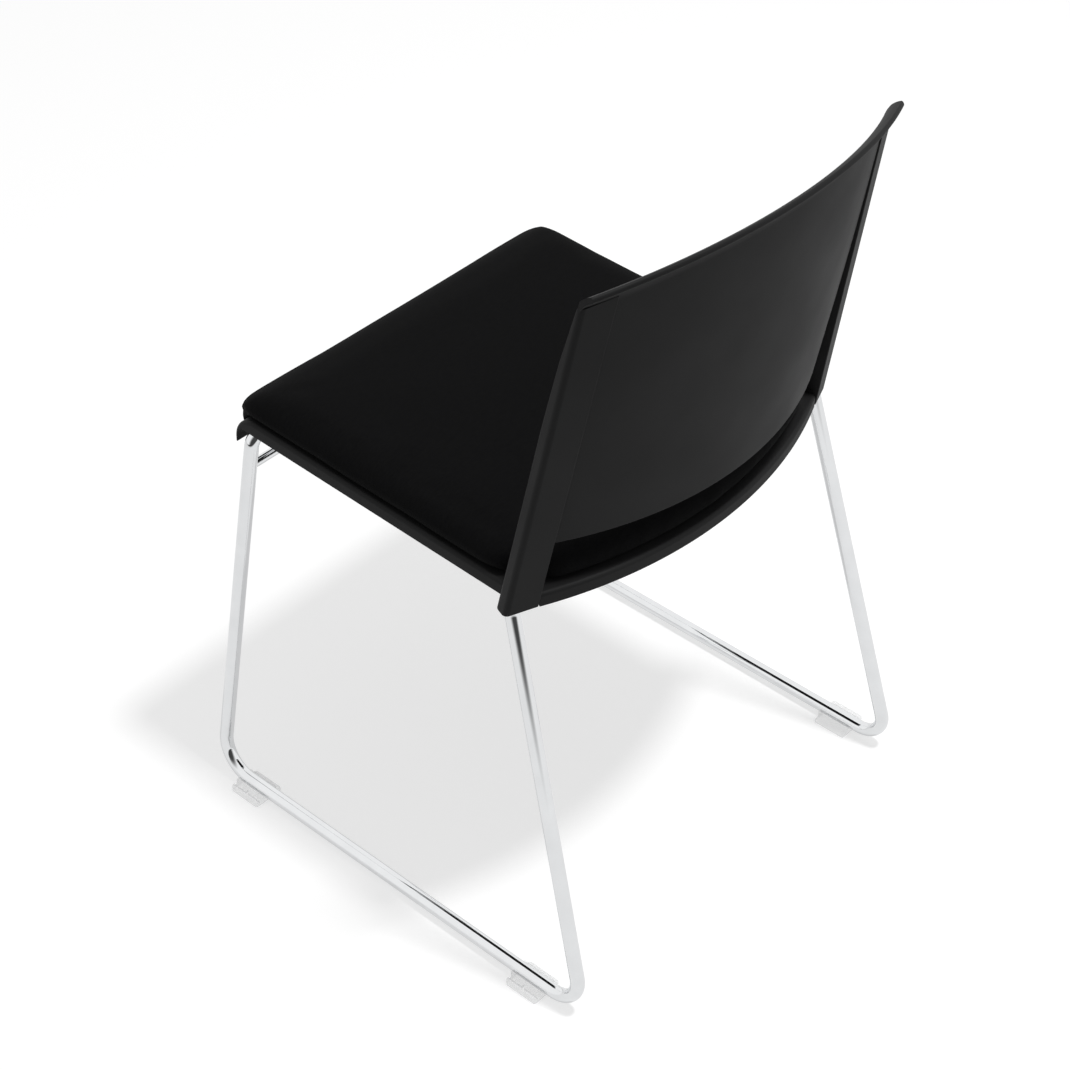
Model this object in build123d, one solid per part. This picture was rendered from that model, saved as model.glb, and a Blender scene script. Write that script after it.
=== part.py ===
from build123d import *
import math
import os

# Visitor chair on a bent rod sled base: chromed side frames, a moulded back with two socketed posts,
# and a seat shell that carries a padded cushion.
# Millimetres, +Z up. The sitter faces -Y, the sitter's left is +X.
# The origin is on the floor, under the middle of the base.

# Rod frame
ROD_D = 14.0                # side frames and front seat bar
REAR_BAR_D = 12.0
CROSS_BAR_D = 9.0
RUNNER_SPACING = 480.0      # between the two runner axes
RUNNER_LENGTH = 492.0       # between the corner points of one runner
REAR_LEG_IN = 28.4          # how far the rear leg leans in, floor to seat
REAR_LEG_FORWARD = 112.9    # how far it leans forward
FRONT_LEG_IN = 40.2
FRONT_LEG_BACK = 43.8
REAR_CORNER_R = 29.0
FRONT_CORNER_R = 35.0
SEAT_BEND_R = 15.0          # front leg into the bar under the seat
UPRIGHT_BEND_R = 28.0       # rear leg into the upright
UPRIGHT_DROP = 13.4         # bend below the top of the seat pan
UPRIGHT_RISE = 121.0        # height of the upright inside the back
UPRIGHT_LEAN_IN = 4.15      # degrees
UPRIGHT_LEAN_BACK = 10.37   # degrees
FRONT_BAR_LENGTH = 352.0    # between the butt welds
CROSS_BAR_DROP = 36.5       # cross bar axis below the front seat bar axis

# Clear glides under the runners
GLIDE_BASE_T = 3.5          # plastic between rod and floor
GLIDE_LENGTH = 38.0
GLIDE_WALL = 3.0            # walls that clip round the rod
GLIDE_FLANGE = 10.0         # inner flange beyond the rod
GLIDE_GROOVE = 3.5
GLIDE_LIP_W = 4.5
GLIDE_LIP_H = 7.0
GLIDE_RIB_T = 3.0
GLIDE_CORNER_R = 3.0
GLIDE_FIT = 0.15            # between glide and rod
REAR_GLIDE_SETBACK = 63.0   # glide centre from the runner's rear corner point
FRONT_GLIDE_SETBACK = 48.0

# Seat shell, drawn level and then sloped: x across, y to the rear, z = 0 on top of the pan
SEAT_Z = 442.5              # top of the pan above the floor, in the middle
SEAT_SLOPE = 2.206          # degrees, falling to the rear
PAN_WIDTH = 410.0
PAN_FRONT_OVER = 18.8       # front edge ahead of the front seat bar's axis
PAN_REAR_OVER = 58.4        # rear edge behind the uprights' bend, on the centre line
PAN_REAR_R = 470.0
PAN_T = 3.5
PAN_SKIRT = 13.0            # depth of the side and rear rim
PAN_EDGE_R = 4.0
WATERFALL_R = 27.0          # front edge rolled down
NOSE_DROP = 2.5             # straight edge below the roll
RIB_T = 2.5
RIB_H = 8.0
RIB_SPACING = 60.0
RIB_LENGTH = 230.0

# Seat fixings
TAB_X = 140.0               # tab from the centre line
TAB_W = 34.0
TAB_T = 3.0
TAB_OVERHANG = 4.0          # front tab ahead of the bar's axis
FRONT_TAB_LENGTH = 41.0
REAR_TAB_LENGTH = 44.0
TAB_HOLE_INSET = 10.0       # screw from the free end of its tab
BOSS_D = 16.0
BOSS_H = 5.3
SCREW_D = 5.0
SCREW_HEAD_D = 9.5          # across the corners of a hexagon
SCREW_HEAD_T = 3.5
SCREW_TIP_COVER = 1.5       # plastic left above the screw
HOLE_CLEARANCE = 0.5        # on the diameter of a through hole
PAD_SCREW_X = 90.0
PAD_SCREW_FRONT = 120.0
PAD_SCREW_REAR = 90.0
PAD_SCREW_D = 4.0
PAD_SCREW_HEAD_D = 9.0
PAD_SCREW_HEAD_T = 2.5

# Cushion
PAD_T = 28.0                # at the shoulders
PAD_CROWN = 4.0             # more in the middle
PAD_WIDTH = 404.0
PAD_TUCK = 8.0              # how far the sides draw in to the seam
PAD_SHOULDER_R = 14.0
PAD_CORNER_R = 18.0
PAD_NOSE_R = 46.0
PAD_NOSE_OVER = 4.5         # nose ahead of the pan
PAD_WRAP = 84.0             # degrees of the waterfall that the pad covers
PAD_REAR_INSET = 8.5
PAD_NOTCH_R = 10.0
PAD_POST_GAP = 2.0          # between cushion and post
PAD_FIT = 0.2               # between pad and pan
BOARD_T = 6.0
BOARD_INSET = 18.0          # cushion foam beyond the board

# Moulded back
POST_TURN = 21.0            # degrees that the posts are turned in
POST_IN = 21.0              # inner side from the upright's axis
POST_OUT = 11.3
POST_REAR = 9.0
POST_FRONT = 9.5
POST_TOP_T = 6.5            # the posts thin towards the top
POST_TAPER_RISE = 126.0     # start of the taper above the upright's bend
POST_FRONT_R = 7.0
POST_OUTER_R = 5.0          # outer rear corner
POST_INNER_R = 3.0          # inner rear corner
POST_FOOT_DROP = 0.5        # foot of the post below the upright's bend
SOCKET_CLEARANCE = 0.25
SOCKET_MOUTH = 1.0          # clearance at the flared mouth, round the upright's bend
SOCKET_FLARE = 8.0          # depth of the flare
POST_GAP = 1.0              # between post and seat shell
PANEL_T = 5.0
PANEL_LOW_Z = 488.6         # lower edge of the panel
PANEL_FLARE = 26.2          # degrees that the panel opens upward, as part of a cone
PANEL_TILT = 18.8           # degrees that the cone's axis leans forward
PANEL_TOP_R = 439.5         # at the top edge
PANEL_END = 12.0            # where the panel ends inside the posts, from the upright's axis
PANEL_TOP_V = 7.7           # rear face of the panel within the post's depth, at the top
BACK_END_Z = 750.5          # top of the panel beside the posts
LIP_R = 25.6                # top edge rolled to the rear
LIP_SWEEP = 55.0            # degrees
LIP_EASE = 1.5              # bevel of its tip
BACK_CORNER_R = 6.0
POST_INTO_LIP = 5.0
BACK_SCREW_RISE = 22.0      # back screw above the upright's bend
BACK_SCREW_SINK = 0.5       # head below the post's inner side
BACK_SCREW_BITE = 4.0       # thread in the upright

# Worked out from the sizes above
RUNNER_Z = GLIDE_BASE_T + ROD_D / 2
SEAT = Pos(0, 0, SEAT_Z) * Rot(-SEAT_SLOPE, 0, 0)
SLOPE = math.tan(math.radians(SEAT_SLOPE))
TAB_TOP = -(PAN_T + BOSS_H)
REAR_FOOT = Vector(RUNNER_SPACING / 2, RUNNER_LENGTH / 2, RUNNER_Z)
FRONT_FOOT = Vector(RUNNER_SPACING / 2, -RUNNER_LENGTH / 2, RUNNER_Z)
BEND_Y = REAR_FOOT.Y - REAR_LEG_FORWARD
SHELL_REAR_Z = SEAT_Z - BEND_Y * SLOPE
BEND = Vector(REAR_FOOT.X - REAR_LEG_IN, BEND_Y, SHELL_REAR_Z - UPRIGHT_DROP)
FRONT_BAR_Y = FRONT_FOOT.Y + FRONT_LEG_BACK
PAN_FRONT = PAN_FRONT_OVER - FRONT_BAR_Y
PAN_REAR = PAN_REAR_OVER + BEND_Y
FRONT_BAR_DROP = (TAB_T + ROD_D / 2 - TAB_TOP) / math.cos(math.radians(SEAT_SLOPE))
FRONT_HEAD = Vector(FRONT_FOOT.X - FRONT_LEG_IN, FRONT_BAR_Y, SEAT_Z - FRONT_BAR_Y * SLOPE - FRONT_BAR_DROP)
UPRIGHT = Vector(-math.tan(math.radians(UPRIGHT_LEAN_IN)), math.tan(math.radians(UPRIGHT_LEAN_BACK)), 1)
POST_U = Vector(-math.cos(math.radians(POST_TURN)), math.sin(math.radians(POST_TURN)), 0)
POST_V = Vector(math.sin(math.radians(POST_TURN)), math.cos(math.radians(POST_TURN)), 0)
BACK_HEAD_U = POST_IN - BACK_SCREW_SINK - SCREW_HEAD_T
BACK_OUT = Vector(0, math.cos(math.radians(PANEL_TILT)), math.sin(math.radians(PANEL_TILT)))
BACK_UP = Vector(0, -math.sin(math.radians(PANEL_TILT)), math.cos(math.radians(PANEL_TILT)))


# Helpers

def mirrored(shape):
    """The same piece on the sitter's right."""
    return mirror(shape, about=Plane.YZ)


def face_of(*edges):
    """Flat face inside a chain of lines and arcs."""
    return make_face(Curve() + list(edges))


def rod(start, end, diameter):
    """Straight round bar between two points."""
    section = Plane(origin=start, z_dir=end - start) * Circle(diameter / 2)
    return extrude(section, amount=(end - start).length)


def across(end, diameter):
    """Straight round bar from the right side to the left."""
    return rod(Vector(-end.X, end.Y, end.Z), end, diameter)


def four_places(x, front_y, rear_y):
    """Places of a four-cornered pattern on the seat, by the name of the corner."""
    return {
        "front_left": (x, front_y),
        "front_right": (-x, front_y),
        "rear_left": (x, rear_y),
        "rear_right": (-x, rear_y),
    }


def post_axis(z):
    """Axis of the left upright at a height."""
    return BEND + UPRIGHT * (z - BEND.Z)


def post_point(z, u, v):
    """Point of the left post: u runs inward across it, v to the rear."""
    return post_axis(z) + POST_U * u + POST_V * v


def seat_y(point):
    """Place of a point along the sloped seat."""
    return (SEAT.inverse() * Pos(point)).position.Y


# Rod frame

def bent_rod(points, radii, diameter):
    """Round rod along straight runs joined by tangent bends."""
    path = FilletPolyline(*points, radius=radii)
    return sweep(Plane(origin=path @ 0, z_dir=path % 0) * Circle(diameter / 2), path=path)


def side_frame():
    """Left frame: upright, rear leg, runner, front leg and the turn under the seat."""
    top = post_axis(BEND.Z + UPRIGHT_RISE)
    weld = Vector(FRONT_BAR_LENGTH / 2, FRONT_HEAD.Y, FRONT_HEAD.Z)
    radii = [UPRIGHT_BEND_R, REAR_CORNER_R, FRONT_CORNER_R, SEAT_BEND_R]
    return bent_rod([top, BEND, REAR_FOOT, FRONT_FOOT, FRONT_HEAD, weld], radii, ROD_D)


def front_seat_bar():
    """Bar under the front of the seat, between the frames' butt welds."""
    return across(Vector(FRONT_BAR_LENGTH / 2, FRONT_HEAD.Y, FRONT_HEAD.Z), ROD_D)


def front_cross_bar(frames):
    """Thinner bar between the front legs, coped to them."""
    leg = FRONT_HEAD - FRONT_FOOT
    return across(FRONT_HEAD - leg * (CROSS_BAR_DROP / leg.Z), CROSS_BAR_D) - frames


def rear_bar_end():
    """End of the rear seat bar, on the upright's axis and level with the rear tabs."""
    return post_axis(SHELL_REAR_Z + TAB_TOP - TAB_T / 2)


def rear_seat_bar(frames):
    """Bar under the rear of the seat, coped to the uprights."""
    return across(rear_bar_end(), REAR_BAR_D) - frames


def rear_bar_room():
    """Slot, open below, that the seat shell and the posts leave for the rear seat bar."""
    end = rear_bar_end()
    width = REAR_BAR_D + 2 * SOCKET_CLEARANCE
    slot = Pos(0, end.Y, end.Z - width / 2) * Box(2 * end.X, width, width)
    return across(end, width) + slot


def glide(setback, heading):
    """Clear clip under the left runner: base, walls round the rod, inner flange and outer grooved lip."""
    half = ROD_D / 2
    wall = half + GLIDE_WALL
    groove = wall + GLIDE_GROOVE
    outer = groove + GLIDE_LIP_W
    inner = half + GLIDE_FLANGE
    section = make_face(Polyline(
        (-inner, 0), (outer, 0), (outer, GLIDE_LIP_H), (groove, GLIDE_LIP_H), (groove, GLIDE_BASE_T),
        (wall, GLIDE_BASE_T), (wall, RUNNER_Z), (-wall, RUNNER_Z), (-wall, GLIDE_BASE_T),
        (-inner, GLIDE_BASE_T),
        close=True,
    ))
    body = extrude(Plane.XZ * section, amount=GLIDE_LENGTH / 2, both=True)
    ends = body.edges().filter_by(Axis.Z).sort_by(Axis.X)
    body = fillet(ends[:2] + ends[-2:], GLIDE_CORNER_R)
    rib_h = GLIDE_LIP_H - GLIDE_BASE_T
    rib = Pos((wall + groove) / 2, 0, GLIDE_BASE_T + rib_h / 2) * Box(GLIDE_GROOVE, GLIDE_RIB_T, rib_h)
    ahead = Vector(0, GLIDE_LENGTH, 0)
    axis = Vector(0, 0, RUNNER_Z)
    channel = rod(axis - ahead, axis + ahead, ROD_D + 2 * GLIDE_FIT)
    return Pos(RUNNER_SPACING / 2, heading * (RUNNER_LENGTH / 2 - setback), 0) * (body + rib - channel)


# Seat shell

def post_notch(z, gap):
    """Corner of the seat plan that is left free for the left post, with a gap round the post."""
    front = post_point(BEND.Z, -POST_OUT, -POST_FRONT).Y - gap
    inner = post_point(z, POST_IN + gap, 0)
    near = inner + POST_V * ((front - inner.Y) / POST_V.Y)
    far = near + POST_V * PAN_REAR
    outline = Polyline((near.X, near.Y), (PAN_WIDTH, near.Y), (PAN_WIDTH, far.Y), (far.X, far.Y), close=True)
    return make_face(outline)


def seat_plan(width, front, rear, rear_r, notch):
    """Plan outline: straight front and sides, a curved rear edge and a notch for each post."""
    plan = Pos(0, (rear - front) / 2) * Rectangle(width, rear + front)
    plan = plan & Pos(0, rear - rear_r) * Circle(rear_r)
    return plan - notch - mirrored(notch)


def pan_plan(inset):
    """Plan of the seat shell, drawn in by an inset."""
    notch = post_notch(SHELL_REAR_Z, POST_GAP + inset)
    return seat_plan(PAN_WIDTH - 2 * inset, PAN_FRONT - inset, PAN_REAR - inset, PAN_REAR_R - inset, notch)


def waterfall(radius, angle):
    """Point of the rolled front edge in the side view, by its angle from the top."""
    turn = math.radians(angle)
    return Vector(WATERFALL_R - PAN_FRONT - radius * math.sin(turn), radius * math.cos(turn) - WATERFALL_R)


def roll(radius, start, end):
    """Arc of the rolled front edge between two angles."""
    middle = waterfall(radius, (start + end) / 2)
    return ThreePointArc(waterfall(radius, start), middle, waterfall(radius, end))


def side_extrusion(face, width):
    """Solid with a side view, as wide as the seat."""
    return extrude(Plane.YZ * face, amount=width / 2, both=True)


def pan_block():
    """Seat shell as a full block: pan, rolled front and sides, with its edges rounded."""
    low = -WATERFALL_R - NOSE_DROP
    end = waterfall(WATERFALL_R, 90)
    profile = face_of(
        Line((PAN_REAR, 0), waterfall(WATERFALL_R, 0)),
        roll(WATERFALL_R, 0, 90),
        Polyline(end, (end.X, low), (PAN_REAR, low), (PAN_REAR, 0)),
    )
    block = side_extrusion(profile, PAN_WIDTH)
    block = fillet(block.edges().filter_by(Axis.Y).group_by(Axis.Z)[-1], PAN_EDGE_R)
    block = block & extrude(pan_plan(0), amount=-low, both=True)
    rear_edge = block.edges().filter_by(GeomType.CIRCLE).group_by(Axis.Y)[-1].sort_by(Axis.Z)[-1]
    return fillet(rear_edge, PAN_EDGE_R)


def below_pan(top, start):
    """Space below a level of the block and behind the rolled front, from an angle of the roll on."""
    low = -WATERFALL_R - 2 * NOSE_DROP
    inner_r = WATERFALL_R - PAN_T
    end = waterfall(inner_r, 90)
    profile = face_of(
        Line((PAN_REAR, top), waterfall(inner_r, start)),
        roll(inner_r, start, 90),
        Polyline(end, (end.X, low), (PAN_REAR, low), (PAN_REAR, top)),
    )
    return side_extrusion(profile, PAN_WIDTH)


def seat_hollows():
    """What is taken out of the block: all below the rim's edge, and the hollow inside the rim."""
    rim_angle = math.degrees(math.acos((WATERFALL_R - PAN_SKIRT) / (WATERFALL_R - PAN_T)))
    inside = extrude(pan_plan(PAN_T), amount=WATERFALL_R + 2 * NOSE_DROP, both=True)
    return below_pan(-PAN_SKIRT, rim_angle) + (below_pan(-PAN_T, 0) & inside)


def seat_shell(screw_holes):
    """Thin moulded seat with a rolled front, a rim, bosses for the tabs and stiffening ribs."""
    shell = pan_block() - seat_hollows()
    for x, y in tab_screw_places().values():
        shell += Pos(x, y, TAB_TOP + BOSS_H / 2) * Cylinder(BOSS_D / 2, BOSS_H)
    rib_y = (PAD_SCREW_REAR - PAD_SCREW_FRONT) / 2
    for x in (-RIB_SPACING, 0, RIB_SPACING):
        shell += Pos(x, rib_y, -PAN_T - RIB_H / 2) * Box(RIB_T, RIB_LENGTH, RIB_H)
    return SEAT * shell - screw_holes - rear_bar_room()


# Seat fixings

def tab_screw_places():
    """Seat screws along the slope of the seat."""
    front_y = seat_y(FRONT_HEAD) - TAB_OVERHANG + FRONT_TAB_LENGTH - TAB_HOLE_INSET
    rear_y = seat_y(rear_bar_end()) - REAR_TAB_LENGTH + TAB_HOLE_INSET
    return four_places(TAB_X, front_y, rear_y)


def seat_tabs(rear_bar):
    """Plates welded on the front bar and against the rear bar, each with a screw hole."""
    front_y = seat_y(FRONT_HEAD) - TAB_OVERHANG + FRONT_TAB_LENGTH / 2
    rear_y = seat_y(rear_bar_end()) - REAR_TAB_LENGTH / 2
    screws = tab_screw_places()
    tabs = {}
    for corner, (x, y) in four_places(TAB_X, front_y, rear_y).items():
        length = FRONT_TAB_LENGTH if corner.startswith("front") else REAR_TAB_LENGTH
        hole = Pos(*screws[corner], TAB_TOP) * Cylinder((SCREW_D + HOLE_CLEARANCE) / 2, 4 * TAB_T)
        plate = Pos(x, y, TAB_TOP - TAB_T / 2) * Box(TAB_W, length, TAB_T)
        tabs[corner] = SEAT * (plate - hole) - rear_bar
    return tabs


def screw(diameter, length, head_d, head_t):
    """Hexagon screw whose head lies below z = 0, with the shank up."""
    head = extrude(RegularPolygon(head_d / 2, 6), amount=-head_t)
    return Pos(0, 0, length / 2) * Cylinder(diameter / 2, length) + head


def seat_screws():
    """Screws up through the tabs into the bosses of the shell."""
    length = TAB_T + BOSS_H + PAN_T - SCREW_TIP_COVER
    body = screw(SCREW_D, length, SCREW_HEAD_D, SCREW_HEAD_T)
    return {c: SEAT * Pos(x, y, TAB_TOP - TAB_T) * body for c, (x, y) in tab_screw_places().items()}


def pad_screws():
    """Screws up through the pan into the cushion's board."""
    length = PAN_T + PAD_FIT + BOARD_T - SCREW_TIP_COVER
    body = screw(PAD_SCREW_D, length, PAD_SCREW_HEAD_D, PAD_SCREW_HEAD_T)
    places = four_places(PAD_SCREW_X, -PAD_SCREW_FRONT, PAD_SCREW_REAR)
    return {c: SEAT * Pos(x, y, -PAN_T) * body for c, (x, y) in places.items()}


# Cushion

def pad_plan():
    """Plan of the cushion: like the shell's, with soft corners beside the posts."""
    notch = post_notch(SHELL_REAR_Z + PAD_T + PAD_CROWN, PAD_POST_GAP)
    rear = PAN_REAR - PAD_REAR_INSET
    plan = seat_plan(PAD_WIDTH, PAN_FRONT + PAD_NOSE_OVER, rear, PAN_REAR_R - PAD_REAR_INSET, notch)
    plan = fillet(plan.vertices().sort_by(Axis.Y)[:2], PAD_CORNER_R)
    outer_round = offset(offset(plan, amount=-PAD_NOTCH_R), amount=PAD_NOTCH_R)
    return offset(offset(outer_round, amount=PAD_NOTCH_R), amount=-PAD_NOTCH_R)


def pad_side():
    """Cushion from the side: flat underside, wrap over the rolled front, nose and crowned top."""
    under_r = WATERFALL_R + PAD_FIT
    low = waterfall(under_r, PAD_WRAP)
    nose = Vector(-PAN_FRONT - PAD_NOSE_OVER, PAD_T - PAD_NOSE_R)
    over = JernArc(nose, (0, 1), PAD_NOSE_R, -90)
    front = over @ 1
    rear = Vector(-front.X, front.Y)
    return face_of(
        Line((PAN_REAR, PAD_FIT), waterfall(under_r, 0)),
        roll(under_r, 0, PAD_WRAP),
        TangentArc(nose, low, tangent=(0, -1)),
        over,
        ThreePointArc(front, (0, PAD_T + PAD_CROWN), rear),
        Polyline(rear, (PAN_REAR, PAD_T), (PAN_REAR, PAD_FIT)),
    )


def drawn_in_edge(reach):
    """Edge of the cushion in section: a curve from the seam out to the belt, then the shoulder."""
    belt = Vector(reach, PAD_T - PAD_SHOULDER_R)
    return [
        TangentArc(belt, (reach - PAD_TUCK, PAD_FIT), tangent=(0, -1)),
        JernArc(belt, (0, 1), PAD_SHOULDER_R, 90),
    ]


def pad_front():
    """Cushion from the front: drawn-in sides and a crowned top."""
    left = drawn_in_edge(PAD_WIDTH / 2)
    right = [mirrored(edge) for edge in left]
    seam = PAD_WIDTH / 2 - PAD_TUCK
    shoulder = PAD_WIDTH / 2 - PAD_SHOULDER_R
    low = PAD_T - PAD_NOSE_R - WATERFALL_R
    crown = ThreePointArc((shoulder, PAD_T), (0, PAD_T + PAD_CROWN), (-shoulder, PAD_T))
    base = Polyline((seam, PAD_FIT), (seam, low), (-seam, low), (-seam, PAD_FIT))
    return face_of(*left, *right, crown, base)


def pad_rear():
    """Half section of the drawn-in rear edge, from the centre of its curve."""
    reach = PAN_REAR_R - PAD_REAR_INSET
    low = PAD_T - PAD_NOSE_R - WATERFALL_R
    roof = PAD_T + 2 * PAD_CROWN
    frame = Polyline(
        (reach - PAD_TUCK, PAD_FIT), (reach - PAD_TUCK, low), (0, low), (0, roof),
        (PAN_REAR_R - PAN_REAR, roof), (reach - PAD_SHOULDER_R, PAD_T),
    )
    return face_of(*drawn_in_edge(reach), frame)


def seat_cushion(board, screw_holes):
    """Padded cushion: crown, drawn-in sides, nose over the front and a pocket for its board."""
    sides = extrude(Plane.XZ * pad_front(), amount=PAN_FRONT + PAN_REAR, both=True)
    rear = Pos(0, PAN_REAR - PAN_REAR_R, 0) * revolve(Plane.XZ * pad_rear(), Axis.Z)
    outline = extrude(pad_plan(), amount=PAD_T + PAD_NOSE_R, both=True)
    pad = side_extrusion(pad_side(), PAD_WIDTH) & sides & rear & outline
    return SEAT * pad - board - screw_holes


def seat_board(screw_holes):
    """Plywood board in the underside of the cushion."""
    plan = offset(pad_plan(), amount=-BOARD_INSET, kind=Kind.INTERSECTION)
    flat_front = PAN_FRONT - WATERFALL_R - BOARD_INSET
    plan = plan & Pos(0, PAN_REAR - flat_front) * Rectangle(PAD_WIDTH, 2 * PAN_REAR)
    return SEAT * Pos(0, 0, PAD_FIT) * extrude(plan, amount=BOARD_T) - screw_holes


# Back

def panel_centre():
    """Centre of the panel's curve at the top edge, set by the panel's end in the posts."""
    end = post_point(BACK_END_Z, PANEL_END, PANEL_TOP_V)
    return Vector(0, end.Y, end.Z) - BACK_OUT * math.sqrt(PANEL_TOP_R ** 2 - end.X ** 2)


def post():
    """Left post, from its foot into the rolled top edge, thinned towards the top from its front."""
    foot = BEND.Z - POST_FOOT_DROP
    height = BACK_END_Z + 2 * LIP_R - foot
    corners = [(-POST_IN, -POST_FRONT), (POST_OUT, -POST_FRONT), (POST_OUT, POST_REAR), (-POST_IN, POST_REAR)]
    radii = [POST_FRONT_R, POST_FRONT_R, POST_OUTER_R, POST_INNER_R]
    outline = make_face(FilletPolyline(*corners, radius=radii, close=True))
    start = post_axis(foot - POST_IN)
    bar = extrude(Plane(origin=start, x_dir=-POST_U, z_dir=UPRIGHT) * outline, amount=2 * height)
    bar = split(bar, bisect_by=Plane.XY.offset(foot), keep=Keep.TOP)
    thick = post_point(BEND.Z + POST_TAPER_RISE, 0, -POST_FRONT)
    thin = post_point(foot + height, 0, POST_REAR - POST_TOP_T)
    front = Plane(origin=thick, x_dir=POST_U, z_dir=(thin - thick).cross(POST_U))
    bar = split(bar, bisect_by=front, keep=Keep.BOTTOM)
    top = Plane(origin=panel_centre() + BACK_UP * POST_INTO_LIP, x_dir=(1, 0, 0), z_dir=BACK_UP)
    return split(bar, bisect_by=top, keep=Keep.BOTTOM)


def back_half_width(z):
    """Outermost reach of the posts at a height."""
    turn = math.radians(POST_TURN)
    corner = (POST_OUT - POST_OUTER_R) * math.cos(turn) + (POST_REAR - POST_OUTER_R) * math.sin(turn)
    return post_axis(z).X + corner + POST_OUTER_R


def wall_section():
    """Section of the panel from its axis: a straight wall, then the roll to the rear with a bevelled tip."""
    flare = math.radians(PANEL_FLARE)
    up = Vector(math.sin(flare), math.cos(flare))
    rear = Vector(math.cos(flare), -math.sin(flare))
    rear_top = Vector(PANEL_TOP_R, 0)
    front_top = rear_top - rear * PANEL_T
    drop = up * 2 * (BACK_END_Z - PANEL_LOW_Z)
    turn = math.radians(LIP_SWEEP)
    spoke = up * math.sin(turn) - rear * math.cos(turn)
    curl = front_top + rear * LIP_R
    outer_tip = curl + spoke * LIP_R
    inner_tip = curl + spoke * (LIP_R - PANEL_T)
    ease = spoke * LIP_EASE
    beyond = (up * math.cos(turn) + rear * math.sin(turn)) * LIP_EASE
    return face_of(
        Line(front_top - drop, front_top),
        TangentArc(front_top, outer_tip, tangent=up),
        Polyline(outer_tip, outer_tip + beyond - ease, inner_tip + beyond + ease, inner_tip),
        TangentArc(rear_top, inner_tip, tangent=up),
        Polyline(rear_top, rear_top - drop, front_top - drop),
    )


def back_outline():
    """Panel and top edge from the rear: inside the posts below, as wide as they are above."""
    low = post_point(PANEL_LOW_Z, PANEL_END, 0).X
    high = post_point(BACK_END_Z, PANEL_END, 0).X
    wide = back_half_width(BACK_END_Z)
    end_z = panel_centre().Z + LIP_R + math.sqrt(PANEL_TOP_R ** 2 - wide ** 2) * BACK_OUT.Z
    end = back_half_width(end_z)
    right = [(low, PANEL_LOW_Z), (high, BACK_END_Z), (wide, BACK_END_Z), (end, end_z)]
    left = [(-x, z) for x, z in reversed(right)]
    radii = [0, 0, 0, BACK_CORNER_R, 0, BACK_CORNER_R, 0, 0, 0]
    return make_face(FilletPolyline(*right, (0, end_z + LIP_R), *left, radius=radii, close=True))


def panel():
    """Curved panel with its rolled top edge: the rear of a ring round the tilted axis."""
    centre = panel_centre()
    section = Plane(origin=centre, x_dir=-BACK_OUT, z_dir=(-1, 0, 0)) * wall_section()
    return revolve(section, Axis(centre, BACK_UP)) & extrude(Plane.XZ * back_outline(), amount=-PANEL_TOP_R)


def socket():
    """Bore for the left upright, with a mouth flared round its bend."""
    bore_r = ROD_D / 2 + SOCKET_CLEARANCE
    mouth_r = ROD_D / 2 + SOCKET_MOUTH
    bore = rod(BEND, post_axis(BEND.Z + UPRIGHT_RISE + SOCKET_CLEARANCE), 2 * bore_r)
    flare = Pos(0, 0, SOCKET_FLARE / 2) * Cone(mouth_r, bore_r, SOCKET_FLARE)
    mouth = rod(post_axis(BEND.Z - ROD_D), BEND, 2 * mouth_r)
    return bore + Plane(origin=BEND, z_dir=UPRIGHT) * flare + mouth


def back_screw_place():
    """Where the left back screw's head bears in the post, facing the upright."""
    return Plane(origin=post_point(BEND.Z + BACK_SCREW_RISE, BACK_HEAD_U, 0), z_dir=-POST_U)


def back_screw():
    """Screw from the left post's inner side into the upright."""
    length = BACK_HEAD_U - ROD_D / 2 + BACK_SCREW_BITE
    return back_screw_place() * screw(SCREW_D, length, SCREW_HEAD_D, SCREW_HEAD_T)


def back_screw_hole():
    """Through hole and recess for the left back screw."""
    hole = Pos(0, 0, BACK_HEAD_U / 2) * Cylinder((SCREW_D + HOLE_CLEARANCE) / 2, BACK_HEAD_U)
    recess = Pos(0, 0, -SCREW_HEAD_T) * Cylinder((SCREW_HEAD_D + HOLE_CLEARANCE) / 2, 2 * SCREW_HEAD_T)
    return back_screw_place() * (hole + recess)


def back_shell():
    """One moulding: two posts with sockets for the uprights, the panel and the rolled top edge."""
    left_post = post()
    left_hollow = socket() + back_screw_hole()
    shell = left_post + mirrored(left_post) + panel()
    return shell - left_hollow - mirrored(left_hollow) - rear_bar_room()


# Assembly

def build():
    """Every piece of the chair by name."""
    left_screw = back_screw()
    left_frame = side_frame() - left_screw
    frames = left_frame + mirrored(left_frame)
    rear_bar = rear_seat_bar(frames)
    fixing = seat_screws()
    pad_fixing = pad_screws()
    pad_fixing_solid = Part() + list(pad_fixing.values())
    board = seat_board(pad_fixing_solid)
    pieces = {
        "side_frame_left": left_frame,
        "side_frame_right": mirrored(left_frame),
        "front_seat_bar": front_seat_bar(),
        "front_cross_bar": front_cross_bar(frames),
        "rear_seat_bar": rear_bar,
        "seat_shell": seat_shell(Part() + list(fixing.values()) + list(pad_fixing.values())),
        "seat_board": board,
        "seat_cushion": seat_cushion(board, pad_fixing_solid),
        "back_shell": back_shell(),
        "back_screw_left": left_screw,
        "back_screw_right": mirrored(left_screw),
    }
    for corner, tab in seat_tabs(rear_bar).items():
        pieces["seat_tab_" + corner] = tab
        pieces["seat_screw_" + corner] = fixing[corner]
        pieces["pad_screw_" + corner] = pad_fixing[corner]
    for name, setback, heading in (("front", FRONT_GLIDE_SETBACK, -1), ("rear", REAR_GLIDE_SETBACK, 1)):
        left_glide = glide(setback, heading)
        pieces["glide_" + name + "_left"] = left_glide
        pieces["glide_" + name + "_right"] = mirrored(left_glide)
    return pieces


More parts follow.
